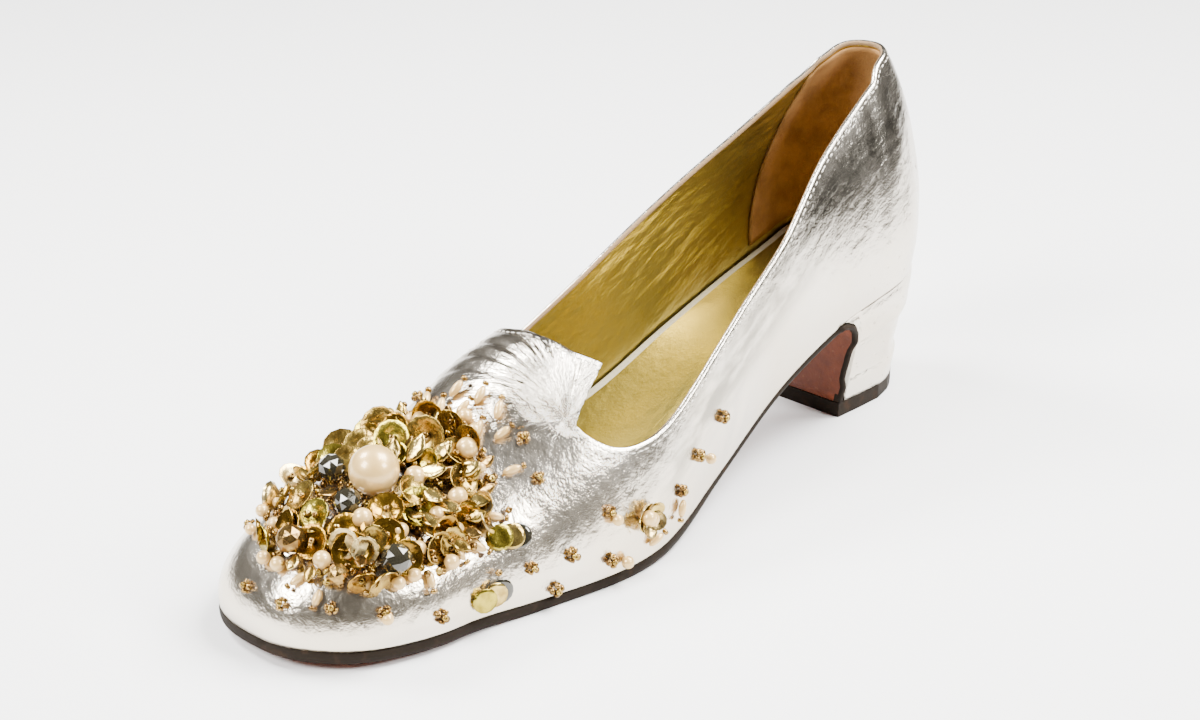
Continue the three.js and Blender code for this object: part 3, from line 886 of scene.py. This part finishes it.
class PUMP_OT_outsole(bpy.types.Operator):
    """Make the leather outsole with its inked edge, turned down the heel's front"""
    bl_idname = "pump.outsole"
    bl_label = "Outsole"

    def execute(self, context):
        flap_start, path = flap_path()
        stations = [mix(toe_turn(END_TURN), TOE_CENTRE, i / TOE_ROWS) for i in range(TOE_ROWS)]
        stations += [mix(TOE_CENTRE, flap_start, i / SOLE_ROWS) for i in range(SOLE_ROWS + 1)]
        rings = []
        for at in stations:
            inset = mix(*SOLE_INSET, smooth(at, NARROWS, WAIST))
            thick = mix(SOLE, WAIST_SOLE, smooth(at, THINS, WAIST))
            rise = bed_point(at + 1, 0, 0).z - bed_point(at - 1, 0, 0).z
            down = Vector((0, rise, -2)).normalized()
            rings.append(sole_ring([bed_point(at, k, inset) for k in ACROSS], down, thick))
        for y, z, down in path:
            inner, outer = heel_wall(BREAST, -1, z), heel_wall(BREAST, 1, z)
            way = Vector((0, *down))
            line = [inner.lerp(outer, (k + 1) / 2).x for k in ACROSS]
            rings.append(sole_ring([Vector((x, y, z)) - way * GAP for x in line], way, FLAP))
        edge = [EDGE] * (len(EDGE_PLACES) + 1)
        bm = loft(rings, [EDGE] * ACROSS_STEPS + edge + [FIELD] * ACROSS_STEPS + edge)
        rim = context.scene.pump_sizes.rim / MM
        for face in bm.faces:
            middle = face.calc_center_median()
            if face.material_index == FIELD and middle.y > flap_start:
                inner, outer = (heel_wall(BREAST, side, middle.z).x for side in (-1, 1))
                if min(outer - middle.x, middle.x - inner) < rim:
                    face.material_index = EDGE
        place_mesh("outsole_leather", bm, [sole_leather(), edge_ink()], ["outsole"])
        return {"FINISHED"}


# How far behind the bend's start the heel's cover begins, its rows to the heel's centre and round the
# back, and its steps from the seat down
HEEL_LIP = 3.5
BREAST_ROWS = 24
BACK_ROWS = 30
HEEL_STEPS = 36


def heel_foot(at, path):
    """How low the heel's wall reaches at a station: to the outsole's bend, or to the toplift."""
    ahead = [z for y, z, _ in path if y + GAP >= at]
    if not ahead:
        return TOPLIFT + GAP
    behind = [z for y, z, _ in path if y <= at + TINY]
    return max(TOPLIFT, ahead[0], min(behind)) + GAP


class PUMP_OT_heel(bpy.types.Operator):
    """Make the heel: silver leather over a block in tiers, and finish the black toplift"""
    bl_idname = "pump.heel"
    bl_label = "Heel"

    def execute(self, context):
        flap_start, path = flap_path()
        stations = [mix(flap_start + HEEL_LIP, HEEL_CENTRE, i / BREAST_ROWS)
                    for i in range(BREAST_ROWS)]
        stations += [mix(HEEL_CENTRE, heel_turn(END_TURN), i / BACK_ROWS)
                     for i in range(BACK_ROWS + 1)]
        rings = []
        for at in stations:
            low = heel_foot(at, path)
            outer, inner = (
                [heel_wall(at, side, mix(section_at(at, side)[3] - SEAM, low, i / HEEL_STEPS))
                 for i in range(HEEL_STEPS + 1)] for side in (1, -1))
            rings.append(outer + inner[::-1])
        bm = loft(rings, [0] * len(rings[0]))
        place_mesh("heel_cover", bm, [silver_leather()], ["heel_block"])
        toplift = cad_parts["toplift"]
        toplift.data.materials.clear()
        toplift.data.materials.append(edge_ink())
        return {"FINISHED"}


# The sock: rows along it, its inset at the bottom and at the top, how far its top falls at the edge
# and how late, and how many strips of the top the pale rim takes on each side
SOCK_ROWS = 110
SOCK_INSETS = (2.3, 2.4)
SOCK_FALL = 0.5
SOCK_FALL_POWER = 12
SOCK_RIM = 3


class PUMP_OT_insole(bpy.types.Operator):
    """Lay the gold sock with its pale rim inside"""
    bl_idname = "pump.insole"
    bl_label = "Insole"

    def execute(self, context):
        ends = toe_turn(SOCK_TURN), heel_turn(SOCK_TURN)
        rings = []
        for i in range(SOCK_ROWS + 1):
            at = mix(*ends, i / SOCK_ROWS)
            bottom = [bed_point(at, k, SOCK_INSETS[0]) for k in ACROSS]
            top = [bed_point(at, k, SOCK_INSETS[1])
                   + Vector((0, 0, INSOLE - SOCK_FALL * abs(k) ** SOCK_FALL_POWER)) for k in ACROSS]
            rings.append(bottom + top[::-1])
        rim = [EDGE] * SOCK_RIM
        below = [EDGE] * (ACROSS_STEPS + 1)
        field = [FIELD] * (ACROSS_STEPS - 2 * SOCK_RIM)
        bm = loft(rings, below + rim + field + rim + [EDGE])
        # The sock's gold is the lining's gold darkened to 0.72, painted shadow for its place inside
        # the shoe
        materials = [gold_leather("gold_sock", wrinkled=0.2, painted_shade=0.72), sock_rim()]
        place_mesh("sock", bm, materials, ["insole"])
        return {"FINISHED"}


# The heel grip: columns and rows, its lowest place up the section, how far up the section it stays
# below the topline, and how deep its two faces lie on the lining
GRIP_COLUMNS = 60
GRIP_ROWS = 24
GRIP_LOW = 0.035
GRIP_BELOW = 0.02
GRIP_DEPTHS = (0.02, 0.6)
# Its front edge: the station at the sock, and how far it goes back up to the topline
GRIP_FRONT = 84
GRIP_SLANT = 9


class PUMP_OT_grip(bpy.types.Operator):
    """Line the back with the suede heel grip, its front edges cut in a slant"""
    bl_idname = "pump.grip"
    bl_label = "Heel grip"

    def execute(self, context):
        back = heel_turn(90)
        rings = []
        for i in range(GRIP_COLUMNS + 1):
            f = 2 * i / GRIP_COLUMNS - 1
            faces = [], []
            for j in range(GRIP_ROWS + 1):
                level = j / GRIP_ROWS
                station = mix(back, GRIP_FRONT + GRIP_SLANT * level ** 2, abs(f))
                up = mix(GRIP_LOW, along(COLLAR, station)[2] - GRIP_BELOW, level)
                plan = plan_point(station, 1 if f >= 0 else -1, up)
                for face, depth in zip(faces, GRIP_DEPTHS):
                    face.append(last_over(*plan.xy) - outward_over(*plan.xy) * (WALL + depth))
            rings.append(faces[0] + faces[1][::-1])
        bm = loft(rings, [0] * len(rings[0]))
        place_mesh("heel_grip", bm, [suede()])
        return {"FINISHED"}


# Beads, by their place on the last's flattened plan, x from the heel's axis. way: where they point,
# in degrees from the outer side; lean: how far they tip over to that side.
# x, y, diameter, height of its middle
CENTRE_PEARL = (-11, -84, 12.6, 7.5)
PEARLS = [
    # x, y, diameter, height of its middle
    (-7.5, -76.5, 5.5, 4), (-4.5, -62, 5.5, 3), (-1, -72.5, 5, 3.4), (-1.5, -79.5, 4, 3),
    (-2.5, -87.5, 3.8, 3.4), (1, -87, 3.8, 2.6), (-7, -90.5, 5, 4.4), (-7, -99.5, 4.5, 2.6),
    (-13, -104, 3.8, 1.9), (-16.5, -104, 3.5, 1.8), (-19, -97.5, 3.5, 1.8), (-15, -62, 4, 2.6),
    (-8, -55.5, 4, 2), (-25, -81.5, 3.5, 1.8), (5.5, -83, 4, 2), (3.5, -93.5, 3.5, 1.8),
    (2, -77.5, 4, 2), (-13.5, -61.5, 4, 3.4), (4, -90.5, 3.5, 2.4), (-24, -99.5, 2.8, 1.4),
    (27.5, -36.5, 3.4, 1.8), (23, -29.5, 4, 2.8), (21, -1, 3, 1.6), (7, -99.5, 3, 1.6),
    (20.5, -38, 3, 1.6),
]
CUPS = [
    # x, y, diameter, height, way, lean, place of its finish in CUP_FINISHES
    (-18, -67, 11, 4.4, 310, 50, 0), (-23, -74, 10, 4.2, 340, 55, 0), (-21, -80.5, 9, 4, 345, 45, 2),
    (-21, -92.5, 8, 3, 210, 40, 0), (-17, -92, 9, 4, 240, 25, 0), (-12.5, -94, 9, 3.6, 260, 30, 2),
    (-4, -82, 11, 3.4, 0, 15, 2), (-7, -93.5, 10, 3.2, 280, 20, 1), (-4.5, -95.5, 10, 2.8, 300, 25, 1),
    (-5, -65, 9, 4, 60, 40, 0), (-25, -87, 8, 3.8, 0, 65, 3), (-23, -93, 8, 3.6, 200, 72, 3),
    (-20, -100, 7, 2.8, 230, 60, 0), (-8.5, -59.5, 8, 3.8, 285, 62, 0), (-12, -60.5, 9, 4, 295, 60, 1),
    (-5, -60, 8, 3.6, 270, 60, 0), (-14, -70.5, 10, 4.8, 305, 38, 2), (-18, -75, 9, 4.8, 325, 42, 0),
    (-19, -86, 9, 5, 190, 38, 0), (-10, -66, 11, 4.6, 290, 42, 0), (-2, -69, 9, 3.6, 40, 35, 0),
    (2, -74, 9, 3, 20, 30, 1), (-6, -87, 9, 4.4, 280, 12, 1), (-3, -90, 9, 3.6, 300, 20, 1),
    (3, -81, 8, 2.6, 350, 30, 0), (1, -90, 9, 3, 330, 25, 1), (-15, -97.5, 9, 3.2, 250, 30, 1),
    (-10, -98, 9, 3, 270, 25, 1), (-26, -79, 8, 3.6, 350, 60, 1),
]
# The seed in a cup's middle: its size, and how far above the cup's middle it lies
CUP_SEED = 1.8
CUP_SEED_RISE = 0.5
LEAVES = [
    # x, y, length, height, way, lean
    (-6.5, -68, 9, 5.4, 70, -25), (-5.8, -73, 9, 5.4, 30, -20), (-9.5, -71, 9, 6, 90, -25),
    (-2.5, -66, 8, 3.8, 50, -20), (-1, -76.5, 8, 4.4, 10, -20), (-12, -75, 8, 6, 110, -25),
    (1.5, -69, 7, 3, 30, -20), (-3.5, -78, 8, 5.2, 350, -20), (0, -83.5, 7, 3.6, 340, -20),
]
DARK_STONES = [
    # x, y, diameter, height
    (-16.5, -86, 7, 6.2), (-10, -90, 7, 5.6), (0.5, -91.5, 8, 3.6),
]
STONE_WAY, STONE_LEAN = 20, 10
FILIGREE = [
    # x, y, diameter, height
    (-12.7, -99.5, 7.5, 4), (-3.5, -100, 5.5, 3),
]
OATS = [
    # x, y, length, way
    (-12.5, -49.5, 5.5, 80), (-8.3, -49, 5.5, 95), (-4.5, -49.5, 5.5, 110), (-8.5, -104.5, 5, 250),
    (0.5, -97, 5, 290), (6, -88, 5, 330), (6, -75, 6, 15), (-9.5, -53.5, 5, 80), (-2, -53, 5, 70),
    (-5.5, -56, 5, 100), (2.5, -57, 5, 55), (-13, -55, 5, 110), (-17, -53, 5, 120), (5, -80, 5, 0),
    (-20, -57, 5, 130), (-24, -62, 5, 140), (-28, -72, 5, 170), (-28, -82, 5, 190), (5, -67, 5, 30),
    (-25.5, -93, 5, 220), (25.5, -15, 5, 75), (27.5, -26, 5, 20), (-4, -105.5, 4.5, 275),
]
# A long pearl's lean, its width, rise and outer end in lengths, and the seed at that end
OAT_LEAN = (-14, -4)
OAT_WIDTH = 0.42
OAT_RISE = 0.25
OAT_END = 0.62
OAT_SEED = 1.9
FLOWERS = [
    # x, y, width
    (-22, -49, 4), (1, -50, 4), (6.5, -52.5, 4), (1, -62.5, 4.6), (-18.3, -110.5, 4), (-9, -110.5, 4),
    (-1, -105.5, 4), (6, -99, 4.4), (13, -89, 4.4), (19.5, -51.5, 4.6), (16, -63, 4),
    (22.8, -57, 4.6), (19, -39, 4.2), (25.8, -40.5, 4.4), (23.2, -14, 4.2), (20, -5.5, 4.4),
    (17.5, 7, 4.4), (-25, -56, 4), (-33, -60, 4), (-36, -75, 4), (-33, -95, 4), (-38, -52, 4),
    (-32, -39, 4), (-30, -20, 4), (-27, -6, 4),
]
# What a flower's width grows by; the seeds round its middle one, and how far they may turn and tip;
# their size and place in widths, their rise in seeds, and the middle seed's size and rise in seeds
FLOWER_FULL = 1.05
FLOWER_SEEDS = 4
FLOWER_TURN = 12
SEED_SIZE = 0.42
SEED_PLACE = 0.28
SEED_RISE = 0.42
MIDDLE_SEED = 0.95
BLOSSOMS = [
    # x, y, width
    (23.5, -28.5, 11), (-32.5, -28.5, 11),
]
# A blossom's petals, cups that lean in to a pearl: sizes and places in widths, heights off the leather
PETALS = 5
PETAL_TURN = 20
PETAL_LEAN = -28
PETAL_SIZE = 0.46
PETAL_PLACE = 0.27
PETAL_HEIGHT = 1.8
MIDDLE_PEARL = 0.36
MIDDLE_HEIGHT = 2.6
DISC_PATCHES = [
    # x, y, width
    (15, -75, 11), (9, -66, 11), (-35, -67, 10),
]
DISC_WAY, DISC_LEAN = 46, -12
DISC_SIZE = 0.6
# The seed beside a patch: its place from the patch's middle, and its size, which is its height too
DISC_SEED = (-3, 2.5)
DISC_SEED_SIZE = 2

# The small beads' ellipse on the plan: its middle, and its half axes across and along
CLUSTER_MIDDLE = (-10.5, -80)
CLUSTER_REACH = (17, 24)
# Tries for a small bead. Every third is a seed of the brown bed, and the others take these kinds in
# turn, each between two sizes
FILL_TRIES = 1500
BED_EVERY = 3
FILL_KINDS = ("cup", "seed", "pearl", "leaf", "cup", "seed", "cup", "leaf")
FILL_SIZES = {"pearl": (2.4, 3.6), "seed": (1.8, 2.4), "cup": (6, 9), "leaf": (5, 7)}
BED_SIZES = (1.8, 2.3)
BED_HEIGHTS = (0.8, 2.4)
# The centre pearl's room, the share that a placed bead keeps of its own, and what a small one needs
# of its size
PEARL_ROOM = 5
KEPT_ROOM = 0.75
BEAD_ROOM = 0.45
CUP_ROOM = 0.18
# The fill's rise at the cluster's edge and what its middle adds. A kind's height: a share of its size,
# a share of the rise, and millimetres more
FILL_LOW = 1.4
FILL_CROWN = 3
FILL_LIFT = {"pearl": (0.5, 0.6, 0), "seed": (0.4, 0.7, 0), "cup": (0, 1, 0.8), "leaf": (0, 1, 1)}
# Leans, in degrees: between two by chance, but a cup's from the middle to the edge
BED_LEANS = (0, 80)
SEED_LEANS = (20, 70)
LEAF_LEANS = (-40, -15)
CUP_LEANS = (15, 62)
# What chance adds to a cup's lean, and to the way of a cup and of a leaf
CUP_TIP = 10
CUP_SWAY = 25
LEAF_SWAY = 20
# Cups on the side that faces this way, in degrees from the outer side, lean in to the pearl
FAR_SIDE = 135


def template(shape):
    """A small mesh that is stamped many times; shape fills a bmesh."""
    bm = bmesh.new()
    shape(bm)
    bmesh.ops.recalc_face_normals(bm, faces=bm.faces)
    mesh = bpy.data.meshes.new("template")
    bm.to_mesh(mesh)
    bm.free()
    return mesh


def turned(outline, steps):
    """A shape that spins an outline of (radius, height) round Z."""
    def shape(bm):
        verts = [bm.verts.new((r, 0, z)) for r, z in outline]
        edges = [bm.edges.new(pair) for pair in zip(verts, verts[1:])]
        bmesh.ops.spin(bm, geom=verts + edges, cent=(0, 0, 0), axis=(0, 0, 1), steps=steps,
                       angle=math.tau, use_merge=True)
        bmesh.ops.remove_doubles(bm, verts=bm.verts, dist=MERGE)
        bmesh.ops.dissolve_degenerate(bm, dist=DEGENERATE, edges=bm.edges)
    return shape


def round_bead(detail):
    def shape(bm):
        bmesh.ops.create_icosphere(bm, subdivisions=detail, radius=0.5)
    return shape


# A leaf's width in its middle, its width at the points, how late it narrows, its thickness and how
# far its ends rise
LEAF_WIDTH = 0.6
LEAF_TIP = 0.024
LEAF_FULLNESS = 2.5
LEAF_THICKNESS = 0.16
LEAF_CURL = 0.3


def leaf_shape(bm):
    """A thin leaf, 1 long, pointed at both ends, which curl up."""
    bmesh.ops.create_icosphere(bm, subdivisions=2, radius=0.5)
    for vert in bm.verts:
        vert.co.y *= LEAF_WIDTH * (1 - (abs(vert.co.x) * 2) ** LEAF_FULLNESS) + LEAF_TIP
        vert.co.z = vert.co.z * LEAF_THICKNESS + LEAF_CURL * vert.co.x ** 2


# Half outlines of the turned shapes, 1 wide: radius and height
CUP_OUTLINE = [(0, -0.09), (0.32, -0.06), (0.5, 0.1), (0.48, 0.11), (0.3, -0.03), (0, -0.06)]
DISC_OUTLINE = [(0, -0.03), (0.3, -0.02), (0.5, 0.03), (0.49, 0.05), (0.28, 0.01), (0, 0)]
SEED_OUTLINE = [(0.16, -0.3), (0.42, -0.26), (0.5, 0), (0.42, 0.26), (0.16, 0.3), (0.16, -0.3)]
# The turn that stands a turned shape on its rim
UPRIGHT = Matrix.Rotation(math.radians(90), 4, "Y")


class Tray:
    """Stamps beads into one bmesh, with a material for each kind."""

    def __init__(self):
        self.bm = bmesh.new()
        self.shapes = {
            "centre": template(round_bead(4)),
            "pearl": template(round_bead(3)),
            "small": template(round_bead(2)),
            "cup": template(turned(CUP_OUTLINE, 12)),
            "disc": template(turned(DISC_OUTLINE, 14)),
            "seed": template(turned(SEED_OUTLINE, 7)),
            "leaf": template(leaf_shape),
        }

    def stamp(self, shape, size, matrix, material, stretch=(1, 1, 1), smooth_faces=True):
        first_vert, first_face = len(self.bm.verts), len(self.bm.faces)
        self.bm.from_mesh(self.shapes[shape])
        self.bm.verts.ensure_lookup_table()
        self.bm.faces.ensure_lookup_table()
        verts = self.bm.verts[first_vert:]
        scale = Matrix.Diagonal((*(size * s for s in stretch), 1))
        bmesh.ops.transform(self.bm, matrix=matrix @ scale, verts=verts)
        for face in self.bm.faces[first_face:]:
            face.material_index = material
            face.smooth = smooth_faces

    def sew(self, name, materials, kind):
        """Makes the beads a piece that stands for the source's beads of a kind."""
        nodes = [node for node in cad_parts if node.startswith(kind)]
        place_mesh(name, self.bm, materials, nodes)
        for mesh in self.shapes.values():
            bpy.data.meshes.remove(mesh)


CREAM, GOLD, AMBER, OLIVE, CHAMPAGNE, BRONZE, DARK, BRASS = range(8)
CUP_FINISHES = (GOLD, AMBER, OLIVE, CHAMPAGNE)
# The discs of a patch: place along its row in widths, rise off the leather, finish
DISC_ROW = [
    (0.22, 0.8, DARK), (0.05, 1.3, BRASS), (-0.24, 1.8, OLIVE),
]


def bead_materials():
    """The beads' finishes, in the order of CREAM to BRASS."""
    return [
        pearl(),
        foil("gold_foil", rgb(0.43, 0.29, 0.065), rgb(0.20, 0.12, 0.025), 0.2),
        foil("amber_foil", rgb(0.34, 0.19, 0.02), rgb(0.15, 0.075, 0.01), 0.14),
        foil("olive_foil", rgb(0.44, 0.35, 0.045), rgb(0.22, 0.165, 0.02), 0.18),
        foil("champagne_foil", rgb(0.60, 0.46, 0.21), rgb(0.38, 0.27, 0.10), 0.22),
        foil("bronze_seed", rgb(0.13, 0.07, 0.02), rgb(0.34, 0.21, 0.06), 0.18),
        dark_glass(),
        foil("brass_leaf", rgb(0.62, 0.46, 0.14), rgb(0.30, 0.20, 0.05), 0.15),
    ]


class PUMP_OT_cluster(bpy.types.Operator):
    """Sew the cluster of pearls, cups, leaves and stones on the vamp"""
    bl_idname = "pump.cluster"
    bl_label = "Bead cluster"

    def execute(self, context):
        rng = random.Random(context.scene.pump_sizes.seed)
        tray = Tray()
        for x, y, size, height in PEARLS:
            tray.stamp("pearl", size, on_leather(x, y, height), CREAM)
        for x, y, size, height, way, lean, finish in CUPS:
            tray.stamp("cup", size, on_leather(x, y, height, way, lean), CUP_FINISHES[finish])
            place = on_leather(x, y, height + CUP_SEED_RISE, way, lean)
            tray.stamp("seed", CUP_SEED, place, BRONZE)
        for x, y, size, height, way, lean in LEAVES:
            tray.stamp("leaf", size, on_leather(x, y, height, way, lean), BRASS)
        for x, y, size, height in DARK_STONES:
            place = on_leather(x, y, height, STONE_WAY, STONE_LEAN)
            tray.stamp("small", size, place, DARK, smooth_faces=False)
        for x, y, size, height in FILIGREE:
            tray.stamp("small", size, on_leather(x, y, height), BRONZE, smooth_faces=False)
        for x, y, length, way in OATS:
            place = on_leather(x, y, length * OAT_RISE, way, rng.uniform(*OAT_LEAN))
            tray.stamp("small", length, place, CREAM, (1, OAT_WIDTH, OAT_WIDTH))
            tip = place @ Matrix.Translation((length * OAT_END, 0, 0))
            tray.stamp("seed", OAT_SEED, tip @ UPRIGHT, BRONZE)
        self.fill(tray, rng)
        tray.sew("bead_cluster_detail", bead_materials(), "bead_cluster")
        tray = Tray()
        x, y, size, height = CENTRE_PEARL
        tray.stamp("centre", size, on_leather(x, y, height), CREAM)
        tray.sew("centre_pearl_detail", [pearl()], "centre_pearl")
        return {"FINISHED"}

    def fill(self, tray, rng):
        """Small beads and cups between the larger ones, over a bed of brown seeds."""
        taken = [(x, y, size / 2) for x, y, size, *_ in PEARLS + DARK_STONES + FILIGREE]
        taken.append((*CENTRE_PEARL[:2], PEARL_ROOM))
        for number in range(FILL_TRIES):
            angle, reach = rng.uniform(0, math.tau), math.sqrt(rng.uniform(0, 1))
            x = CLUSTER_MIDDLE[0] + CLUSTER_REACH[0] * reach * math.cos(angle)
            y = CLUSTER_MIDDLE[1] + CLUSTER_REACH[1] * reach * math.sin(angle)
            way = math.degrees(math.atan2(y - CENTRE_PEARL[1], x - CENTRE_PEARL[0]))
            if number % BED_EVERY == 0:
                place = on_leather(x, y, rng.uniform(*BED_HEIGHTS), way, rng.uniform(*BED_LEANS))
                tray.stamp("seed", rng.uniform(*BED_SIZES), place, rng.choice((BRONZE, BRONZE, GOLD)))
                continue
            kind = FILL_KINDS[number % len(FILL_KINDS)]
            size = {name: rng.uniform(*span) for name, span in FILL_SIZES.items()}[kind]
            room = size * (BEAD_ROOM if kind in ("pearl", "seed") else CUP_ROOM)
            if any(math.hypot(x - a, y - b) < room + c * KEPT_ROOM for a, b, c in taken):
                continue
            taken.append((x, y, room))
            rise = FILL_LOW + FILL_CROWN * (1 - reach) + rng.uniform(0, 1)
            own, share, more = FILL_LIFT[kind]
            height = size * own + rise * share + more
            if kind == "pearl":
                tray.stamp("small", size, on_leather(x, y, height), CREAM)
            elif kind == "seed":
                place = on_leather(x, y, height, way, rng.uniform(*SEED_LEANS))
                tray.stamp("seed", size, place, rng.choice((BRONZE, BRASS, GOLD)))
            elif kind == "cup":
                lean = mix(*CUP_LEANS, reach) + rng.uniform(-CUP_TIP, CUP_TIP)
                if math.cos(math.radians(way - FAR_SIDE)) > 0:
                    lean = -lean
                place = on_leather(x, y, height, way + rng.uniform(-CUP_SWAY, CUP_SWAY), lean)
                tray.stamp("cup", size, place, rng.choice((GOLD, OLIVE, AMBER, GOLD, CHAMPAGNE)))
            else:
                way += rng.uniform(-LEAF_SWAY, LEAF_SWAY)
                place = on_leather(x, y, height, way, rng.uniform(*LEAF_LEANS))
                tray.stamp("leaf", size, place, rng.choice((BRASS, GOLD, BRONZE)))


class PUMP_OT_scatter(bpy.types.Operator):
    """Sew the seed flowers, blossoms and discs round the cluster"""
    bl_idname = "pump.scatter"
    bl_label = "Scattered beads"

    def execute(self, context):
        rng = random.Random(context.scene.pump_sizes.seed + 1)
        tray = Tray()
        for x, y, width in FLOWERS:
            self.flower(tray, x, y, width * FLOWER_FULL, rng)
        tray.sew("seed_flowers", bead_materials(), "seed_flower")
        tray = Tray()
        tip = Matrix.Rotation(math.radians(PETAL_LEAN), 4, "Y")
        for x, y, width in BLOSSOMS:
            for i in range(PETALS):
                place = on_leather(x, y, PETAL_HEIGHT, i * 360 / PETALS + PETAL_TURN)
                place = place @ Matrix.Translation((width * PETAL_PLACE, 0, 0)) @ tip
                tray.stamp("cup", width * PETAL_SIZE, place, (CHAMPAGNE, BRASS)[i % 2])
            tray.stamp("pearl", width * MIDDLE_PEARL, on_leather(x, y, MIDDLE_HEIGHT), CREAM)
        tray.sew("blossoms", bead_materials(), "blossom")
        tray = Tray()
        for x, y, width in DISC_PATCHES:
            for offset, rise, finish in DISC_ROW:
                place = on_leather(x, y, rise, DISC_WAY, DISC_LEAN)
                place = place @ Matrix.Translation((width * offset, 0, 0))
                tray.stamp("disc", width * DISC_SIZE, place, finish)
            place = on_leather(x + DISC_SEED[0], y + DISC_SEED[1], DISC_SEED_SIZE)
            tray.stamp("seed", DISC_SEED_SIZE, place, BRONZE)
        tray.sew("disc_patches", bead_materials(), "disc_patch")
        return {"FINISHED"}

    def flower(self, tray, x, y, width, rng):
        """A few seed beads sewn round one."""
        seed = width * SEED_SIZE
        for i in range(FLOWER_SEEDS):
            spin = i * 360 / FLOWER_SEEDS + rng.uniform(-FLOWER_TURN, FLOWER_TURN)
            tip = on_leather(x, y, seed * SEED_RISE, spin, rng.uniform(-FLOWER_TURN, FLOWER_TURN))
            tip = tip @ Matrix.Translation((width * SEED_PLACE, 0, 0))
            tray.stamp("seed", seed, tip @ UPRIGHT, BRONZE)
        tray.stamp("seed", seed * MIDDLE_SEED, on_leather(x, y, seed * MIDDLE_SEED), GOLD)


# Studio lights: where they stand, where they point, their size and their power
LIGHTS = [
    # name, place, aim, size, power
    ("softbox_top", (0.42, 0.72, 1.3), (0, 0, 0), 0.85, 24),
    ("softbox_front", (-0.3, -1.15, 1.05), (0, 0, 0.05), 0.6, 11),
    ("softbox_right", (1.15, 0.3, 0.85), (0, 0, 0.05), 0.4, 5),
    ("softbox_side", (-0.9, -0.22, 1.1), (0, 0, 0), 0.5, 9),
]
# The angle that a light's beam opens to, in degrees
SPREAD = 80
FLOOR_HALF = 4
SKY = rgb(0.20, 0.19, 0.175)
SKY_STRENGTH = 0.5
CAMERA_PLACE = (0.3849, -0.4545, 0.3244)
CAMERA_AIM = (0.0, -0.004, 0.040)
SENSOR = 36


def set_up(name, data, place, aim):
    """Stands a light or the camera in its place and points it."""
    thing = bpy.data.objects.new(name, data)
    thing.location = place
    thing.rotation_euler = (Vector(aim) - Vector(place)).to_track_quat("-Z", "Y").to_euler()
    bpy.context.scene.collection.objects.link(thing)
    return thing


class PUMP_OT_stage(bpy.types.Operator):
    """Set the pale floor, the soft lights and the camera"""
    bl_idname = "pump.stage"
    bl_label = "Stage"

    def execute(self, context):
        bm = bmesh.new()
        bmesh.ops.create_grid(bm, x_segments=2, y_segments=2, size=FLOOR_HALF)
        mesh = bpy.data.meshes.new("floor")
        bm.to_mesh(mesh)
        bm.free()
        finish = Finish("paper", Roughness=0.7)
        finish.paint(Base_Color=finish.blend(
            finish.noise(900, 2), rgb(0.80, 0.795, 0.785), rgb(0.84, 0.835, 0.825)))
        mesh.materials.append(finish.material)
        floor = bpy.data.objects.new("floor", mesh)
        context.scene.collection.objects.link(floor)
        for name, place, aim, size, power in LIGHTS:
            light = bpy.data.lights.new(name, "AREA")
            light.shape = "SQUARE"
            light.size = size
            light.energy = power
            light.spread = math.radians(SPREAD)
            set_up(name, light, place, aim)
        world = bpy.data.worlds.new("studio")
        world.use_nodes = True
        background = world.node_tree.nodes["Background"]
        background.inputs["Color"].default_value = SKY
        background.inputs["Strength"].default_value = SKY_STRENGTH
        context.scene.world = world
        lens = bpy.data.cameras.new("camera")
        lens.lens = context.scene.pump_sizes.lens
        lens.sensor_width = SENSOR
        context.scene.camera = set_up("camera", lens, CAMERA_PLACE, CAMERA_AIM)
        return {"FINISHED"}


OPERATORS = (PUMP_OT_stage, PUMP_OT_upper, PUMP_OT_stitches, PUMP_OT_outsole, PUMP_OT_heel,
             PUMP_OT_insole, PUMP_OT_grip, PUMP_OT_cluster, PUMP_OT_scatter)


class PUMP_PT_panel(bpy.types.Panel):
    """The pump's pieces, sizes and colours"""
    bl_idname = "PUMP_PT_panel"
    bl_label = "Pump"
    bl_space_type = "VIEW_3D"
    bl_region_type = "UI"
    bl_category = "Pump"

    def draw(self, context):
        for operator in OPERATORS:
            self.layout.operator(operator.bl_idname)
        for group in (context.scene.pump_sizes, context.scene.pump_colours):
            for name in group.bl_rna.properties.keys():
                if name not in ("rna_type", "name"):
                    self.layout.prop(group, name)


CLASSES = (PumpColours, PumpSizes, *OPERATORS, PUMP_PT_panel)


def register():
    for cls in CLASSES:
        bpy.utils.register_class(cls)
    bpy.types.Scene.pump_colours = bpy.props.PointerProperty(type=PumpColours)
    bpy.types.Scene.pump_sizes = bpy.props.PointerProperty(type=PumpSizes)


def unregister():
    del bpy.types.Scene.pump_colours
    del bpy.types.Scene.pump_sizes
    for cls in reversed(CLASSES):
        bpy.utils.unregister_class(cls)


def main():
    register()
    bpy.ops.pump.stage()
    bpy.ops.pump.upper()
    bpy.ops.pump.stitches()
    bpy.ops.pump.outsole()
    bpy.ops.pump.heel()
    bpy.ops.pump.insole()
    bpy.ops.pump.grip()
    bpy.ops.pump.cluster()
    bpy.ops.pump.scatter()


if __name__ == "__main__":
    main()
